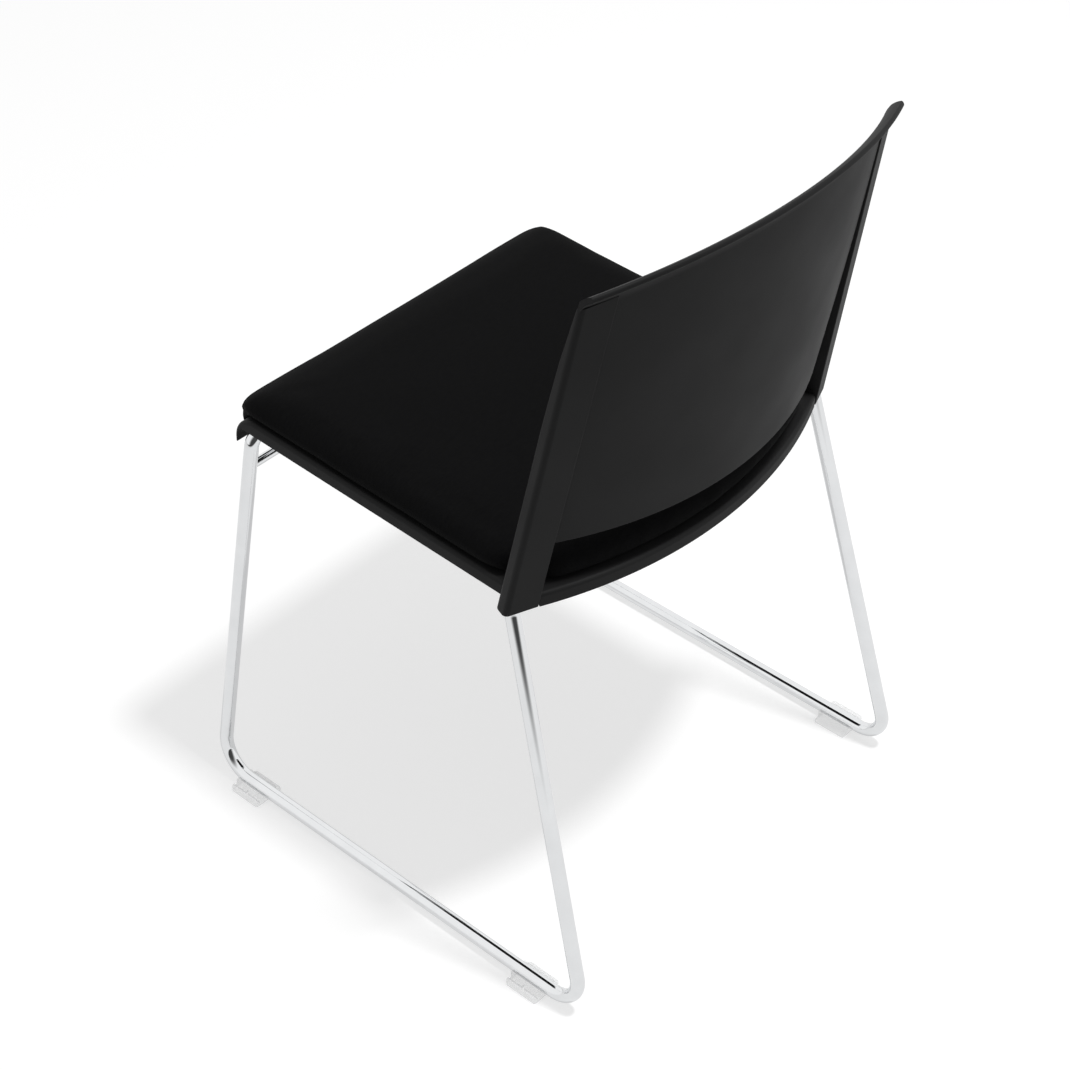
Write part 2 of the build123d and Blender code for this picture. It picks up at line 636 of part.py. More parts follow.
if __name__ == "__main__":
    os.makedirs("parts", exist_ok=True)
    for node, piece in build().items():
        export_step(piece, os.path.join("parts", node + ".step"))
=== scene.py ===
"""Looks of an armless visitor chair, in metres: a chrome rod sled base, a moulded back, a padded seat."""

import logging
import math
from contextlib import contextmanager
from dataclasses import dataclass
from enum import Enum
from typing import Callable, Iterator, Sequence

import bpy
from mathutils import Matrix, Vector


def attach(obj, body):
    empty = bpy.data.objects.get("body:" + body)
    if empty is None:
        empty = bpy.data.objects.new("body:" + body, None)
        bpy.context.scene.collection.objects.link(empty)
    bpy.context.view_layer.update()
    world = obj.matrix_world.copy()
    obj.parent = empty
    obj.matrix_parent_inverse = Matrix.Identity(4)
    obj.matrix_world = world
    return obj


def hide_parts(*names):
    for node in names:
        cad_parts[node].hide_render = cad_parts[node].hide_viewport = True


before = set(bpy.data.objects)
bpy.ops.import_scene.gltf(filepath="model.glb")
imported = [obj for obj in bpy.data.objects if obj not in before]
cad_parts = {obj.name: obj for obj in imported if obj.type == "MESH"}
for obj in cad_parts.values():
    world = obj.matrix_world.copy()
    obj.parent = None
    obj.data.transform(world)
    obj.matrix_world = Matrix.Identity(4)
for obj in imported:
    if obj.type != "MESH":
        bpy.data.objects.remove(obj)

LOG = logging.getLogger("visitor_chair")
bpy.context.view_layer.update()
BODY = "root"
CORNERS = ("front_left", "front_right", "rear_left", "rear_right")
NEAR = 1e-6
CAP_REACH = 0.51
PATTERN_SPAN = (0.3, 0.7)
WHITE = (1.0, 1.0, 1.0, 1.0)
X_AXIS = Vector((1, 0, 0)).freeze()
Y_AXIS = Vector((0, 1, 0)).freeze()
Z_AXIS = Vector((0, 0, 1)).freeze()

Object = bpy.types.Object
Material = bpy.types.Material
Socket = bpy.types.NodeSocket
Tree = bpy.types.NodeTree
Place = Callable[[Vector], bool]
EdgeTest = Callable[[Vector, Vector], bool]
Shade = tuple[float, float, float]


class Pick(Enum):
    """What an edit works on."""

    VERTICES = (True, False, False)
    EDGES = (False, True, False)
    FACES = (False, False, True)


class Mix(Enum):
    """How one solid changes another."""

    ADD = "UNION"
    CUT = "DIFFERENCE"
    KEEP = "INTERSECT"


def settle() -> None:
    """Go to object mode with nothing selected."""
    if bpy.context.mode != "OBJECT":
        bpy.ops.object.mode_set(mode="OBJECT")
    bpy.ops.object.select_all(action="DESELECT")


def take_up(piece: Object) -> None:
    """Make one object the only selected and the active one.

    Args:
        piece: The object.
    """
    settle()
    piece.select_set(True)
    bpy.context.view_layer.objects.active = piece


@contextmanager
def editing(piece: Object, kind: Pick = Pick.VERTICES) -> Iterator[None]:
    """Edit mode on one object, with what was picked before still selected.

    Args:
        piece: The object to edit.
        kind: What the operators act on.

    Yields:
        Nothing. Object mode comes back afterwards.
    """
    take_up(piece)
    bpy.context.tool_settings.mesh_select_mode = kind.value
    bpy.ops.object.mode_set(mode="EDIT")
    yield
    bpy.ops.object.mode_set(mode="OBJECT")


def pick(piece: Object, test: Place | None = None, edge_test: EdgeTest | None = None) -> None:
    """Select parts of a mesh by their place, before an edit.

    Args:
        piece: The object whose mesh is picked from.
        test: Passes the vertices to select. With no test at all, everything is selected.
        edge_test: Passes the two ends of each edge to select.
    """
    settle()
    mesh = piece.data
    everything = test is None and edge_test is None
    for items in (mesh.polygons, mesh.edges, mesh.vertices):
        items.foreach_set("select", [everything] * len(items))
    if test is not None:
        for vertex in mesh.vertices:
            vertex.select = test(vertex.co)
    if edge_test is not None:
        for edge in mesh.edges:
            first, second = (mesh.vertices[i] for i in edge.vertices)
            if edge_test(first.co, second.co):
                edge.select = True
                first.select = True
                second.select = True


def ring(name: str, points: Sequence[Vector], filled: bool = True) -> Object:
    """Closed outline through points, from a circle whose corners are moved there.

    Args:
        name: Name of the new object.
        points: Corners of the outline in order.
        filled: Whether a face closes the outline.

    Returns:
        The new object, at the origin.
    """
    settle()
    fill = "NGON" if filled else "NOTHING"
    bpy.ops.mesh.primitive_circle_add(vertices=len(points), radius=1.0, fill_type=fill)
    piece = bpy.context.object
    piece.name = name
    for vertex, point in zip(piece.data.vertices, points):
        vertex.co = point
    return piece


def face_outwards(piece: Object, merge: float = NEAR) -> None:
    """Merge doubled points, drop slivers and turn all faces outwards.

    Args:
        piece: The object to change.
        merge: Points nearer than this become one.
    """
    pick(piece)
    with editing(piece):
        bpy.ops.mesh.remove_doubles(threshold=merge)
        bpy.ops.mesh.dissolve_degenerate(threshold=merge)
        bpy.ops.mesh.normals_make_consistent(inside=False)


def prism(name: str, points: Sequence[Vector], along: Vector) -> Object:
    """Solid between an outline and its copy.

    Args:
        name: Name of the new object.
        points: Corners of the outline in order.
        along: From the outline to its copy.

    Returns:
        The closed solid.
    """
    piece = ring(name, points)
    pick(piece)
    with editing(piece, Pick.FACES):
        bpy.ops.mesh.extrude_region_move(TRANSFORM_OT_translate={"value": along})
    face_outwards(piece)
    return piece


def cut_off(piece: Object, place: Vector, toward: Vector) -> None:
    """Cut a solid by a plane and close the cut.

    Args:
        piece: The solid that changes.
        place: A point of the plane.
        toward: Direction of the side that is taken away.
    """
    pick(piece)
    with editing(piece):
        bpy.ops.mesh.bisect(plane_co=place, plane_no=toward, use_fill=True, clear_outer=True)
    face_outwards(piece)


def combine(piece: Object, tool: Object, how: Mix) -> None:
    """Change a solid by another one.

    Args:
        piece: The solid that changes.
        tool: The solid that it is joined to or cut by.
        how: Union, difference or intersection.
    """
    change = piece.modifiers.new("mix", "BOOLEAN")
    change.operation = how.value
    change.solver = "EXACT"
    change.object = tool
    take_up(piece)
    bpy.ops.object.modifier_apply(modifier=change.name)
    bpy.data.objects.remove(tool)


def round_edges(piece: Object, edge_test: EdgeTest, radius: float, segments: int) -> None:
    """Round the edges that pass a test.

    Args:
        piece: The object to change.
        edge_test: Passes the two ends of each edge to round.
        radius: Radius of the rounding.
        segments: Facets across it.
    """
    pick(piece, edge_test=edge_test)
    with editing(piece, Pick.EDGES):
        bpy.ops.mesh.bevel(offset=radius, segments=segments, affect="EDGES", profile=0.5)


def soften(piece: Object, width: float, angle: float = 40.0) -> None:
    """Break every sharp edge of a solid by a narrow bevel.

    Args:
        piece: The object to change.
        width: Width of the bevel.
        angle: Edges sharper than this many degrees are broken.
    """
    bevel = piece.modifiers.new("edge", "BEVEL")
    bevel.width = width
    bevel.segments = 2
    bevel.limit_method = "ANGLE"
    bevel.angle_limit = math.radians(angle)
    bevel.use_clamp_overlap = True
    take_up(piece)
    bpy.ops.object.modifier_apply(modifier=bevel.name)


def smooth(piece: Object, angle: float = 32.0) -> None:
    """Shade round faces smooth and keep flat ones flat.

    Args:
        piece: The object to shade.
        angle: Edges sharper than this many degrees stay sharp.
    """
    take_up(piece)
    bpy.ops.object.shade_smooth_by_angle(angle=math.radians(angle))
    weighted = piece.modifiers.new("normals", "WEIGHTED_NORMAL")
    weighted.keep_sharp = True
    bpy.ops.object.modifier_apply(modifier=weighted.name)


def duplicate(piece: Object, name: str, place: Matrix) -> Object:
    """Copy of a piece with its own mesh.

    Args:
        piece: The piece to copy.
        name: Name of the copy.
        place: How the copy's mesh is moved.

    Returns:
        The copy.
    """
    copy = piece.copy()
    copy.name = name
    copy.data = piece.data.copy()
    copy.data.transform(place)
    bpy.context.scene.collection.objects.link(copy)
    return copy


def mirrored(piece: Object, name: str) -> Object:
    """Copy of a piece on the sitter's right.

    Args:
        piece: The piece on the sitter's left.
        name: Name of the copy.

    Returns:
        The copy, with its own mesh.
    """
    twin = duplicate(piece, name, Matrix.Scale(-1.0, 4, X_AXIS))
    twin.data.flip_normals()
    return twin


def arc(
    centre: Vector, first: Vector, second: Vector, radius: float, start: float, end: float, steps: int,
) -> list[Vector]:
    """Points along an arc.

    Args:
        centre: Centre of the arc.
        first: Unit direction at 0 degrees.
        second: Unit direction at 90 degrees.
        radius: Radius of the arc.
        start: First angle in degrees.
        end: Last angle in degrees.
        steps: Number of facets.

    Returns:
        The points in order, both ends included.
    """
    angles = [math.radians(start + (end - start) * i / steps) for i in range(steps + 1)]
    return [centre + (first * math.cos(a) + second * math.sin(a)) * radius for a in angles]


def circle(centre: Vector, first: Vector, second: Vector, radius: float, sides: int) -> list[Vector]:
    """Corners of a regular polygon.

    Args:
        centre: Its middle.
        first: Unit direction of the first corner.
        second: Unit direction a quarter turn on.
        radius: From the middle to a corner.
        sides: Number of corners.

    Returns:
        The corners in order.
    """
    return arc(centre, first, second, radius, 0.0, 360.0 - 360.0 / sides, sides - 1)


def rounded(corners: Sequence[tuple[float, float]], radii: Sequence[float], steps: int = 6) -> list[Vector]:
    """Outline of a rectangle whose corners are rounded, in the XY plane.

    Args:
        corners: The four corners, counter-clockwise from the lowest left.
        radii: Radius at each corner.
        steps: Facets at each corner.

    Returns:
        The points of the outline in order.
    """
    signs = ((1, 1), (-1, 1), (-1, -1), (1, -1))
    outline: list[Vector] = []
    for turn, ((x, y), radius, (sx, sy)) in enumerate(zip(corners, radii, signs)):
        centre = Vector((x + sx * radius, y + sy * radius, 0.0))
        start = 180.0 + 90.0 * turn
        outline += arc(centre, X_AXIS, Y_AXIS, radius, start, start + 90.0, steps)
    return outline


@dataclass(frozen=True)
class Stance:
    """Sizes that several sub-assemblies share, in metres and degrees, and the places that follow."""

    rod_d: float = 0.014
    runner_spacing: float = 0.480
    runner_length: float = 0.492
    rear_leg_in: float = 0.0284
    rear_leg_forward: float = 0.1129
    front_leg_in: float = 0.0402
    front_leg_back: float = 0.0438
    glide_base_t: float = 0.0035
    seat_z: float = 0.4425
    seat_slope: float = 2.206
    pan_t: float = 0.0035
    boss_h: float = 0.0053
    tab_t: float = 0.003
    tab_x: float = 0.140
    tab_overhang: float = 0.004
    tab_hole_inset: float = 0.010
    front_tab_length: float = 0.041
    rear_tab_length: float = 0.044
    rear_bar_d: float = 0.012
    upright_drop: float = 0.0134
    upright_rise: float = 0.121
    upright_lean_in: float = 4.15
    upright_lean_back: float = 10.37
    post_turn: float = 21.0
    post_in: float = 0.021
    post_out: float = 0.0113
    post_front: float = 0.0095
    socket_clearance: float = 0.00025

    @property
    def runner_z(self) -> float:
        """Height of the runner's axis."""
        return self.glide_base_t + self.rod_d / 2

    @property
    def tab_top(self) -> float:
        """Top of the tabs below the pan's top."""
        return -(self.pan_t + self.boss_h)

    @property
    def slope(self) -> float:
        """Fall of the seat to the rear, as a ratio."""
        return math.tan(math.radians(self.seat_slope))

    @property
    def seat(self) -> Matrix:
        """From the level seat to its place on the chair."""
        tip = Matrix.Rotation(-math.radians(self.seat_slope), 4, "X")
        return Matrix.Translation((0, 0, self.seat_z)) @ tip

    @property
    def rear_foot(self) -> Vector:
        """Corner point of the left runner at the rear."""
        return Vector((self.runner_spacing / 2, self.runner_length / 2, self.runner_z))

    @property
    def front_foot(self) -> Vector:
        """Corner point of the left runner at the front."""
        return Vector((self.runner_spacing / 2, -self.runner_length / 2, self.runner_z))

    @property
    def shell_rear_z(self) -> float:
        """Height of the pan beside the uprights."""
        return self.seat_z - (self.rear_foot.y - self.rear_leg_forward) * self.slope

    @property
    def bend(self) -> Vector:
        """Corner point of the left rear leg.

        Returns:
            Where the leg and its upright would meet without the bend.
        """
        x = self.rear_foot.x - self.rear_leg_in
        y = self.rear_foot.y - self.rear_leg_forward
        return Vector((x, y, self.shell_rear_z - self.upright_drop))

    @property
    def front_head(self) -> Vector:
        """Corner point of the left front leg.

        Returns:
            Where the leg and the bar under the seat would meet without the bend.
        """
        foot = self.front_foot
        y = foot.y + self.front_leg_back
        drop = (self.tab_t + self.rod_d / 2 - self.tab_top) / math.cos(math.radians(self.seat_slope))
        return Vector((foot.x - self.front_leg_in, y, self.seat_z - y * self.slope - drop))

    @property
    def upright(self) -> Vector:
        """Lean of the left upright for each metre of height."""
        lean_in, lean_back = math.radians(self.upright_lean_in), math.radians(self.upright_lean_back)
        return Vector((-math.tan(lean_in), math.tan(lean_back), 1.0))

    @property
    def post_u(self) -> Vector:
        """Direction inward across the left post."""
        turn = math.radians(self.post_turn)
        return Vector((-math.cos(turn), math.sin(turn), 0.0))

    @property
    def post_v(self) -> Vector:
        """Direction to the rear through the left post."""
        turn = math.radians(self.post_turn)
        return Vector((math.sin(turn), math.cos(turn), 0.0))

    def post_axis(self, z: float) -> Vector:
        """Axis of the left upright at a height."""
        return self.bend + self.upright * (z - self.bend.z)

    def post_point(self, z: float, u: float, v: float) -> Vector:
        """Point of the left post, u inward across it and v to the rear."""
        return self.post_axis(z) + self.post_u * u + self.post_v * v

    def rear_bar_end(self) -> Vector:
        """End of the rear seat bar, on the left upright's axis."""
        return self.post_axis(self.shell_rear_z + self.tab_top - self.tab_t / 2)

    def seat_y(self, point: Vector) -> float:
        """Place of a point along the sloped seat."""
        return (self.seat.inverted() @ point).y

    def tab_screws(self) -> dict[str, tuple[float, float]]:
        """Places of the seat screws on the level seat.

        Returns:
            The place at each corner.
        """
        front_edge = self.seat_y(self.front_head) - self.tab_overhang
        front = front_edge + self.front_tab_length - self.tab_hole_inset
        rear = self.seat_y(self.rear_bar_end()) - self.rear_tab_length + self.tab_hole_inset
        return four_places(self.tab_x, front, rear)


def four_places(x: float, front_y: float, rear_y: float) -> dict[str, tuple[float, float]]:
    """Places of a four-cornered pattern, by the name of the corner."""
    return dict(zip(CORNERS, ((x, front_y), (-x, front_y), (x, rear_y), (-x, rear_y))))


@dataclass(frozen=True)
class Grain:
    """A cloudy pattern: waves for each metre, finer octaves, stretch, and relief in metres."""

    scale: float
    detail: float = 4.0
    stretch: tuple[float, float, float] = (1.0, 1.0, 1.0)
    depth: float = 0.0
    strength: float = 0.0


class Recipe:
    """A material under construction, with short ways to add to its node tree."""

    def __init__(self, name: str) -> None:
        """Start a material with a plain surface shader.

        Args:
            name: Name of the material.
        """
        self.material = bpy.data.materials.new(name)
        self.material.use_nodes = True
        self.tree = self.material.node_tree
        self.surface = self.tree.nodes["Principled BSDF"]
        self.place = self.add("ShaderNodeTexCoord").outputs["Object"]

    def add(self, kind: str, **settings: object) -> bpy.types.Node:
        """Add a node and set its sockets or properties by name.

        Args:
            kind: Type of the node.
            settings: Value of each socket or property.

        Returns:
            The node.
        """
        node = self.tree.nodes.new(kind)
        for key, value in settings.items():
            if key in node.inputs:
                node.inputs[key].default_value = value
            else:
                setattr(node, key, value)
        return node

    def link(self, source: Socket, target: Socket) -> None:
        """Join two sockets."""
        self.tree.links.new(source, target)

    def noise(self, grain: Grain) -> Socket:
        """Cloudy pattern on object coordinates.

        Args:
            grain: Size and build of the pattern.

        Returns:
            The socket of the pattern's value.
        """
        mapping = self.add("ShaderNodeMapping", Scale=grain.stretch)
        noise = self.add("ShaderNodeTexNoise", Scale=grain.scale, Detail=grain.detail)
        self.link(self.place, mapping.inputs["Vector"])
        self.link(mapping.outputs["Vector"], noise.inputs["Vector"])
        return noise.outputs["Fac"]

    def polish(self, value: Socket, span: Sequence[float]) -> None:
        """Vary the roughness over a span by a pattern's middle range.

        Args:
            value: The pattern.
            span: Least and greatest roughness.
        """
        ramp = self.add("ShaderNodeMapRange")
        limits = zip(("From Min", "From Max", "To Min", "To Max"), (*PATTERN_SPAN, *span))
        for name, limit in limits:
            ramp.inputs[name].default_value = limit
        self.link(value, ramp.inputs["Value"])
        self.link(ramp.outputs["Result"], self.surface.inputs["Roughness"])

    def tint(self, value: Socket, dark: Sequence[float], pale: Sequence[float]) -> None:
        """Colour the surface between two shades by a pattern.

        Args:
            value: The pattern.
            dark: Shade where the pattern is low.
            pale: Shade where it is high.
        """
        ramp = self.add("ShaderNodeValToRGB")
        for element, shade, position in zip(ramp.color_ramp.elements, (dark, pale), PATTERN_SPAN):
            element.color = (*shade, 1.0)
            element.position = position
        self.link(value, ramp.inputs["Fac"])
        self.link(ramp.outputs["Color"], self.surface.inputs["Base Color"])

    def relief(self, height: Socket, depth: float, strength: float) -> None:
        """Raise the surface by a pattern.

        Args:
            height: The pattern.
            depth: Real depth in metres.
            strength: Share of it that shows.
        """
        bump = self.add("ShaderNodeBump", Strength=strength, Distance=depth)
        self.link(height, bump.inputs["Height"])
        self.link(bump.outputs["Normal"], self.surface.inputs["Normal"])

    def fix(self, **levels: object) -> None:
        """Set values that are the same all over, by socket name with underscores for spaces."""
        for name, level in levels.items():
            self.surface.inputs[name.replace("_", " ")].default_value = level


@dataclass(frozen=True)
class ChromePlate:
    """Bright plating over drawn steel rod."""

    slot: str = "chrome_rod"
    dark: Shade = (0.79, 0.80, 0.81)
    pale: Shade = (0.83, 0.84, 0.85)
    roughness: tuple[float, float] = (0.030, 0.050)
    clouds: Grain = Grain(45.0)
    drawn: Grain = Grain(900.0, detail=2.0, depth=0.00002, strength=0.03)

    def make(self) -> Material:
        """Build the material, with faint clouds in the polish and fine drawing marks.

        Returns:
            The material.
        """
        recipe = Recipe(self.slot)
        recipe.fix(Metallic=1.0)
        clouds = recipe.noise(self.clouds)
        recipe.tint(clouds, self.dark, self.pale)
        recipe.polish(clouds, self.roughness)
        recipe.relief(recipe.noise(self.drawn), self.drawn.depth, self.drawn.strength)
        return recipe.material


@dataclass(frozen=True)
class BlackMoulding:
    """Black plastic with the fine spark-eroded grain of its mould."""

    slot: str = "black_plastic"
    dark: Shade = (0.0105, 0.0105, 0.0108)
    pale: Shade = (0.0132, 0.0132, 0.0135)
    roughness: tuple[float, float] = (0.54, 0.62)
    specular: float = 0.13
    clouds: Grain = Grain(14.0)
    grain: Grain = Grain(1900.0, detail=3.0, depth=0.00008, strength=0.25)

    def make(self) -> Material:
        """Build the material, with grain in relief and clouds in its sheen.

        Returns:
            The material.
        """
        recipe = Recipe(self.slot)
        recipe.fix(Specular_IOR_Level=self.specular)
        clouds = recipe.noise(self.clouds)
        recipe.tint(clouds, self.dark, self.pale)
        recipe.polish(clouds, self.roughness)
        recipe.relief(recipe.noise(self.grain), self.grain.depth, self.grain.strength)
        return recipe.material


@dataclass(frozen=True)
class BlackUpholstery:
    """Close plain-woven black cloth over foam."""

    slot: str = "black_fabric"
    dark: Shade = (0.0026, 0.0026, 0.0028)
    pale: Shade = (0.0040, 0.0040, 0.0042)
    roughness: float = 0.92
    specular: float = 0.06
    sheen: float = 0.01
    sheen_roughness: float = 0.5
    slubs: Grain = Grain(160.0, detail=6.0, stretch=(1.0, 3.0, 1.0))
    thread: float = 0.0009
    threads_in_wave: float = 20.0
    unevenness: float = 1.2
    uneven_scale: float = 3.0
    thread_depth: float = 0.0002
    thread_strength: float = 0.35

    def make(self) -> Material:
        """Build the material, with crossing threads in relief and uneven yarn.

        Returns:
            The material.
        """
        recipe = Recipe(self.slot)
        recipe.fix(Roughness=self.roughness, Specular_IOR_Level=self.specular)
        recipe.fix(Sheen_Weight=self.sheen, Sheen_Roughness=self.sheen_roughness)
        weave = recipe.add("ShaderNodeMath", operation="MULTIPLY")
        scale = math.tau / (self.threads_in_wave * self.thread)
        for axis, target in zip("XY", weave.inputs):
            wave = recipe.add("ShaderNodeTexWave", Scale=scale, Distortion=self.unevenness)
            wave.bands_direction = axis
            wave.inputs["Detail Scale"].default_value = self.uneven_scale
            recipe.link(recipe.place, wave.inputs["Vector"])
            recipe.link(wave.outputs["Fac"], target)
        recipe.tint(recipe.noise(self.slubs), self.dark, self.pale)
        recipe.relief(weave.outputs["Value"], self.thread_depth, self.thread_strength)
        return recipe.material


@dataclass(frozen=True)
class ClearPlastic:
    """Clear moulded plastic, slightly milky."""

    slot: str = "clear_plastic"
    colour: tuple[float, float, float, float] = (0.94, 0.95, 0.96, 1.0)
    roughness: tuple[float, float] = (0.12, 0.22)
    cover: float = 0.22
    ior: float = 1.49
    flow: Grain = Grain(120.0, detail=3.0, stretch=(1.0, 0.3, 1.0), depth=0.0001, strength=0.08)

    def make(self) -> Material:
        """Build the material, with flow marks in its clarity.

        Returns:
            The material.
        """
        recipe = Recipe(self.slot)
        recipe.fix(Base_Color=self.colour, Alpha=self.cover, IOR=self.ior)
        flow = recipe.noise(self.flow)
        recipe.polish(flow, self.roughness)
        recipe.relief(flow, self.flow.depth, self.flow.strength)
        return recipe.material


@dataclass(frozen=True)
class ZincSteel:
    """Zinc plate on screws."""

    slot: str = "screw_steel"
    dark: Shade = (0.42, 0.42, 0.43)
    pale: Shade = (0.60, 0.60, 0.61)
    roughness: tuple[float, float] = (0.28, 0.45)
    bloom: Grain = Grain(600.0)

    def make(self) -> Material:
        """Build the material, with the mottled bloom of zinc.

        Returns:
            The material.
        """
        recipe = Recipe(self.slot)
        recipe.fix(Metallic=1.0)
        bloom = recipe.noise(self.bloom)
        recipe.tint(bloom, self.dark, self.pale)
        recipe.polish(bloom, self.roughness)
        return recipe.material


@dataclass(frozen=True)
class RawBoard:
    """Raw plywood of the cushion's board."""

    slot: str = "board"
    dark: Shade = (0.34, 0.22, 0.12)
    pale: Shade = (0.62, 0.47, 0.30)
    roughness: float = 0.75
    grain: Grain = Grain(90.0, detail=8.0, stretch=(1.0, 0.08, 1.0), depth=0.0003, strength=0.3)

    def make(self) -> Material:
        """Build the material, with grain along the seat.

        Returns:
            The material.
        """
        recipe = Recipe(self.slot)
        recipe.fix(Roughness=self.roughness)
        grain = recipe.noise(self.grain)
        recipe.tint(grain, self.dark, self.pale)
        recipe.relief(grain, self.grain.depth, self.grain.strength)
        return recipe.material


class Palette:
    """The finishes of the chair, each made once."""

    def __init__(self) -> None:
        """Make every finish."""
        kinds = (ChromePlate, BlackMoulding, BlackUpholstery, ClearPlastic, ZincSteel, RawBoard)
        self.materials = {kind.slot: kind().make() for kind in kinds}

    def dress(self, piece: Object, slot: str, *nodes: str) -> None:
        """Finish a new piece and let it stand for its solids.

        Args:
            piece: The piece, in place.
            slot: Name of its finish.
            nodes: The solids that it replaces.
        """
        piece.data.materials.clear()
        piece.data.materials.append(self.materials[slot])
        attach(piece, BODY)
        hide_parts(*nodes)
        LOG.info("%s: %d faces, %s", piece.name, len(piece.data.polygons), slot)

    def finish_solid(self, node: str, slot: str) -> None:
        """Finish a solid that is shown as it is.

        Args:
            node: Name of the solid.
            slot: Name of its finish.
        """
        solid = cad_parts[node]
        if not solid.material_slots:
            solid.data.materials.append(self.materials[slot])
        for place in solid.material_slots:
            place.material = self.materials[slot]
        LOG.info("%s: solid, %s", node, slot)


@dataclass
class RodBase:
    """Two bent side frames and the bars between them."""

    stance: Stance
    cross_bar_d: float = 0.009
    cross_bar_drop: float = 0.0365
    front_bar_length: float = 0.352
    upright_bend_r: float = 0.028
    rear_corner_r: float = 0.029
    front_corner_r: float = 0.035
    seat_bend_r: float = 0.015
    sides: int = 40
    bend_steps: int = 16
    slot: str = "chrome_rod"

    def tube(self, name: str, points: Sequence[Vector], radii: Sequence[float], diameter: float) -> Object:
        """Round rod along straight runs joined by bends, drawn out from a circle.

        Args:
            name: Name of the new object.
            points: Corner points of the rod's axis.
            radii: Bend radius at each inner corner.
            diameter: Diameter of the rod.

        Returns:
            The closed rod.
        """
        heading = (points[1] - points[0]).normalized()
        settle()
        bpy.ops.mesh.primitive_circle_add(
            vertices=self.sides, radius=diameter / 2, fill_type="NOTHING", location=points[0],
            rotation=heading.to_track_quat("Z", "Y").to_euler(),
        )
        bpy.ops.object.transform_apply(location=True, rotation=True, scale=True)
        rod = bpy.context.object
        rod.name = name
        here = points[0]
        pick(rod)
        with editing(rod):
            for corner, following, radius in zip(points[1:], points[2:], radii):
                onward = (following - corner).normalized()
                turn = heading.angle(onward)
                start = corner - heading * (radius * math.tan(turn / 2))
                axis = heading.cross(onward).normalized()
                bpy.ops.mesh.extrude_region_move(TRANSFORM_OT_translate={"value": start - here})
                middle = start + axis.cross(heading) * radius
                bpy.ops.mesh.spin(steps=self.bend_steps, angle=-turn, center=middle, axis=axis)
                here = corner + onward * (radius * math.tan(turn / 2))
                heading = onward
            bpy.ops.mesh.extrude_region_move(TRANSFORM_OT_translate={"value": points[-1] - here})
        for end in (points[0], points[-1]):
            pick(rod, lambda co: (co - end).length < diameter * CAP_REACH)
            with editing(rod):
                bpy.ops.mesh.edge_face_add()
        face_outwards(rod)
        return rod

    @property
    def weld(self) -> Vector:
        """Left end of the front seat bar, where the side frame meets it."""
        return Vector((self.front_bar_length / 2, self.stance.front_head.y, self.stance.front_head.z))

    def frame_line(self) -> tuple[list[Vector], list[float]]:
        """Line of the left side frame.

        Returns:
            Its corner points and the bend radius at each inner one.
        """
        stance = self.stance
        top = stance.post_axis(stance.bend.z + stance.upright_rise)
        points = [top, stance.bend, stance.rear_foot, stance.front_foot, stance.front_head, self.weld]
        return points, [self.upright_bend_r, self.rear_corner_r, self.front_corner_r, self.seat_bend_r]

    def across(self, name: str, end: Vector, diameter: float) -> Object:
        """Straight bar from the right side to a point on the left."""
        return self.tube(name, [Vector((-end.x, end.y, end.z)), end], [], diameter)

    def rear_bar_room(self, name: str) -> Object:
        """Slot, open below, for the rear seat bar.

        Args:
            name: Name of the new object.

        Returns:
            The solid to cut away.
        """
        end = self.stance.rear_bar_end()
        width = self.stance.rear_bar_d + 2 * self.stance.socket_clearance
        room = self.across(name, end, width)
        sides = (end.y - width / 2, end.y + width / 2)
        corners = [Vector((-end.x, y, end.z)) for y in sides]
        corners += [Vector((-end.x, y, end.z - width)) for y in reversed(sides)]
        combine(room, prism(name, corners, X_AXIS * (2 * end.x)), Mix.ADD)
        return room

    def build(self, palette: Palette) -> None:
        """Build and finish the side frames and the bars.

        Args:
            palette: The finishes.
        """
        stance = self.stance
        left = self.tube("rod_frame_left", *self.frame_line(), stance.rod_d)
        right = mirrored(left, "rod_frame_right")
        leg = stance.front_head - stance.front_foot
        cross_end = stance.front_head - leg * (self.cross_bar_drop / leg.z)
        pieces = {
            "side_frame_left": left,
            "side_frame_right": right,
            "front_cross_bar": self.across("cross_bar", cross_end, self.cross_bar_d),
            "front_seat_bar": self.across("seat_bar_front", self.weld, stance.rod_d),
            "rear_seat_bar": self.across("seat_bar_rear", stance.rear_bar_end(), stance.rear_bar_d),
        }
        for node, piece in pieces.items():
            smooth(piece)
            palette.dress(piece, self.slot, node)
        for corner in CORNERS:
            palette.finish_solid("seat_tab_" + corner, self.slot)


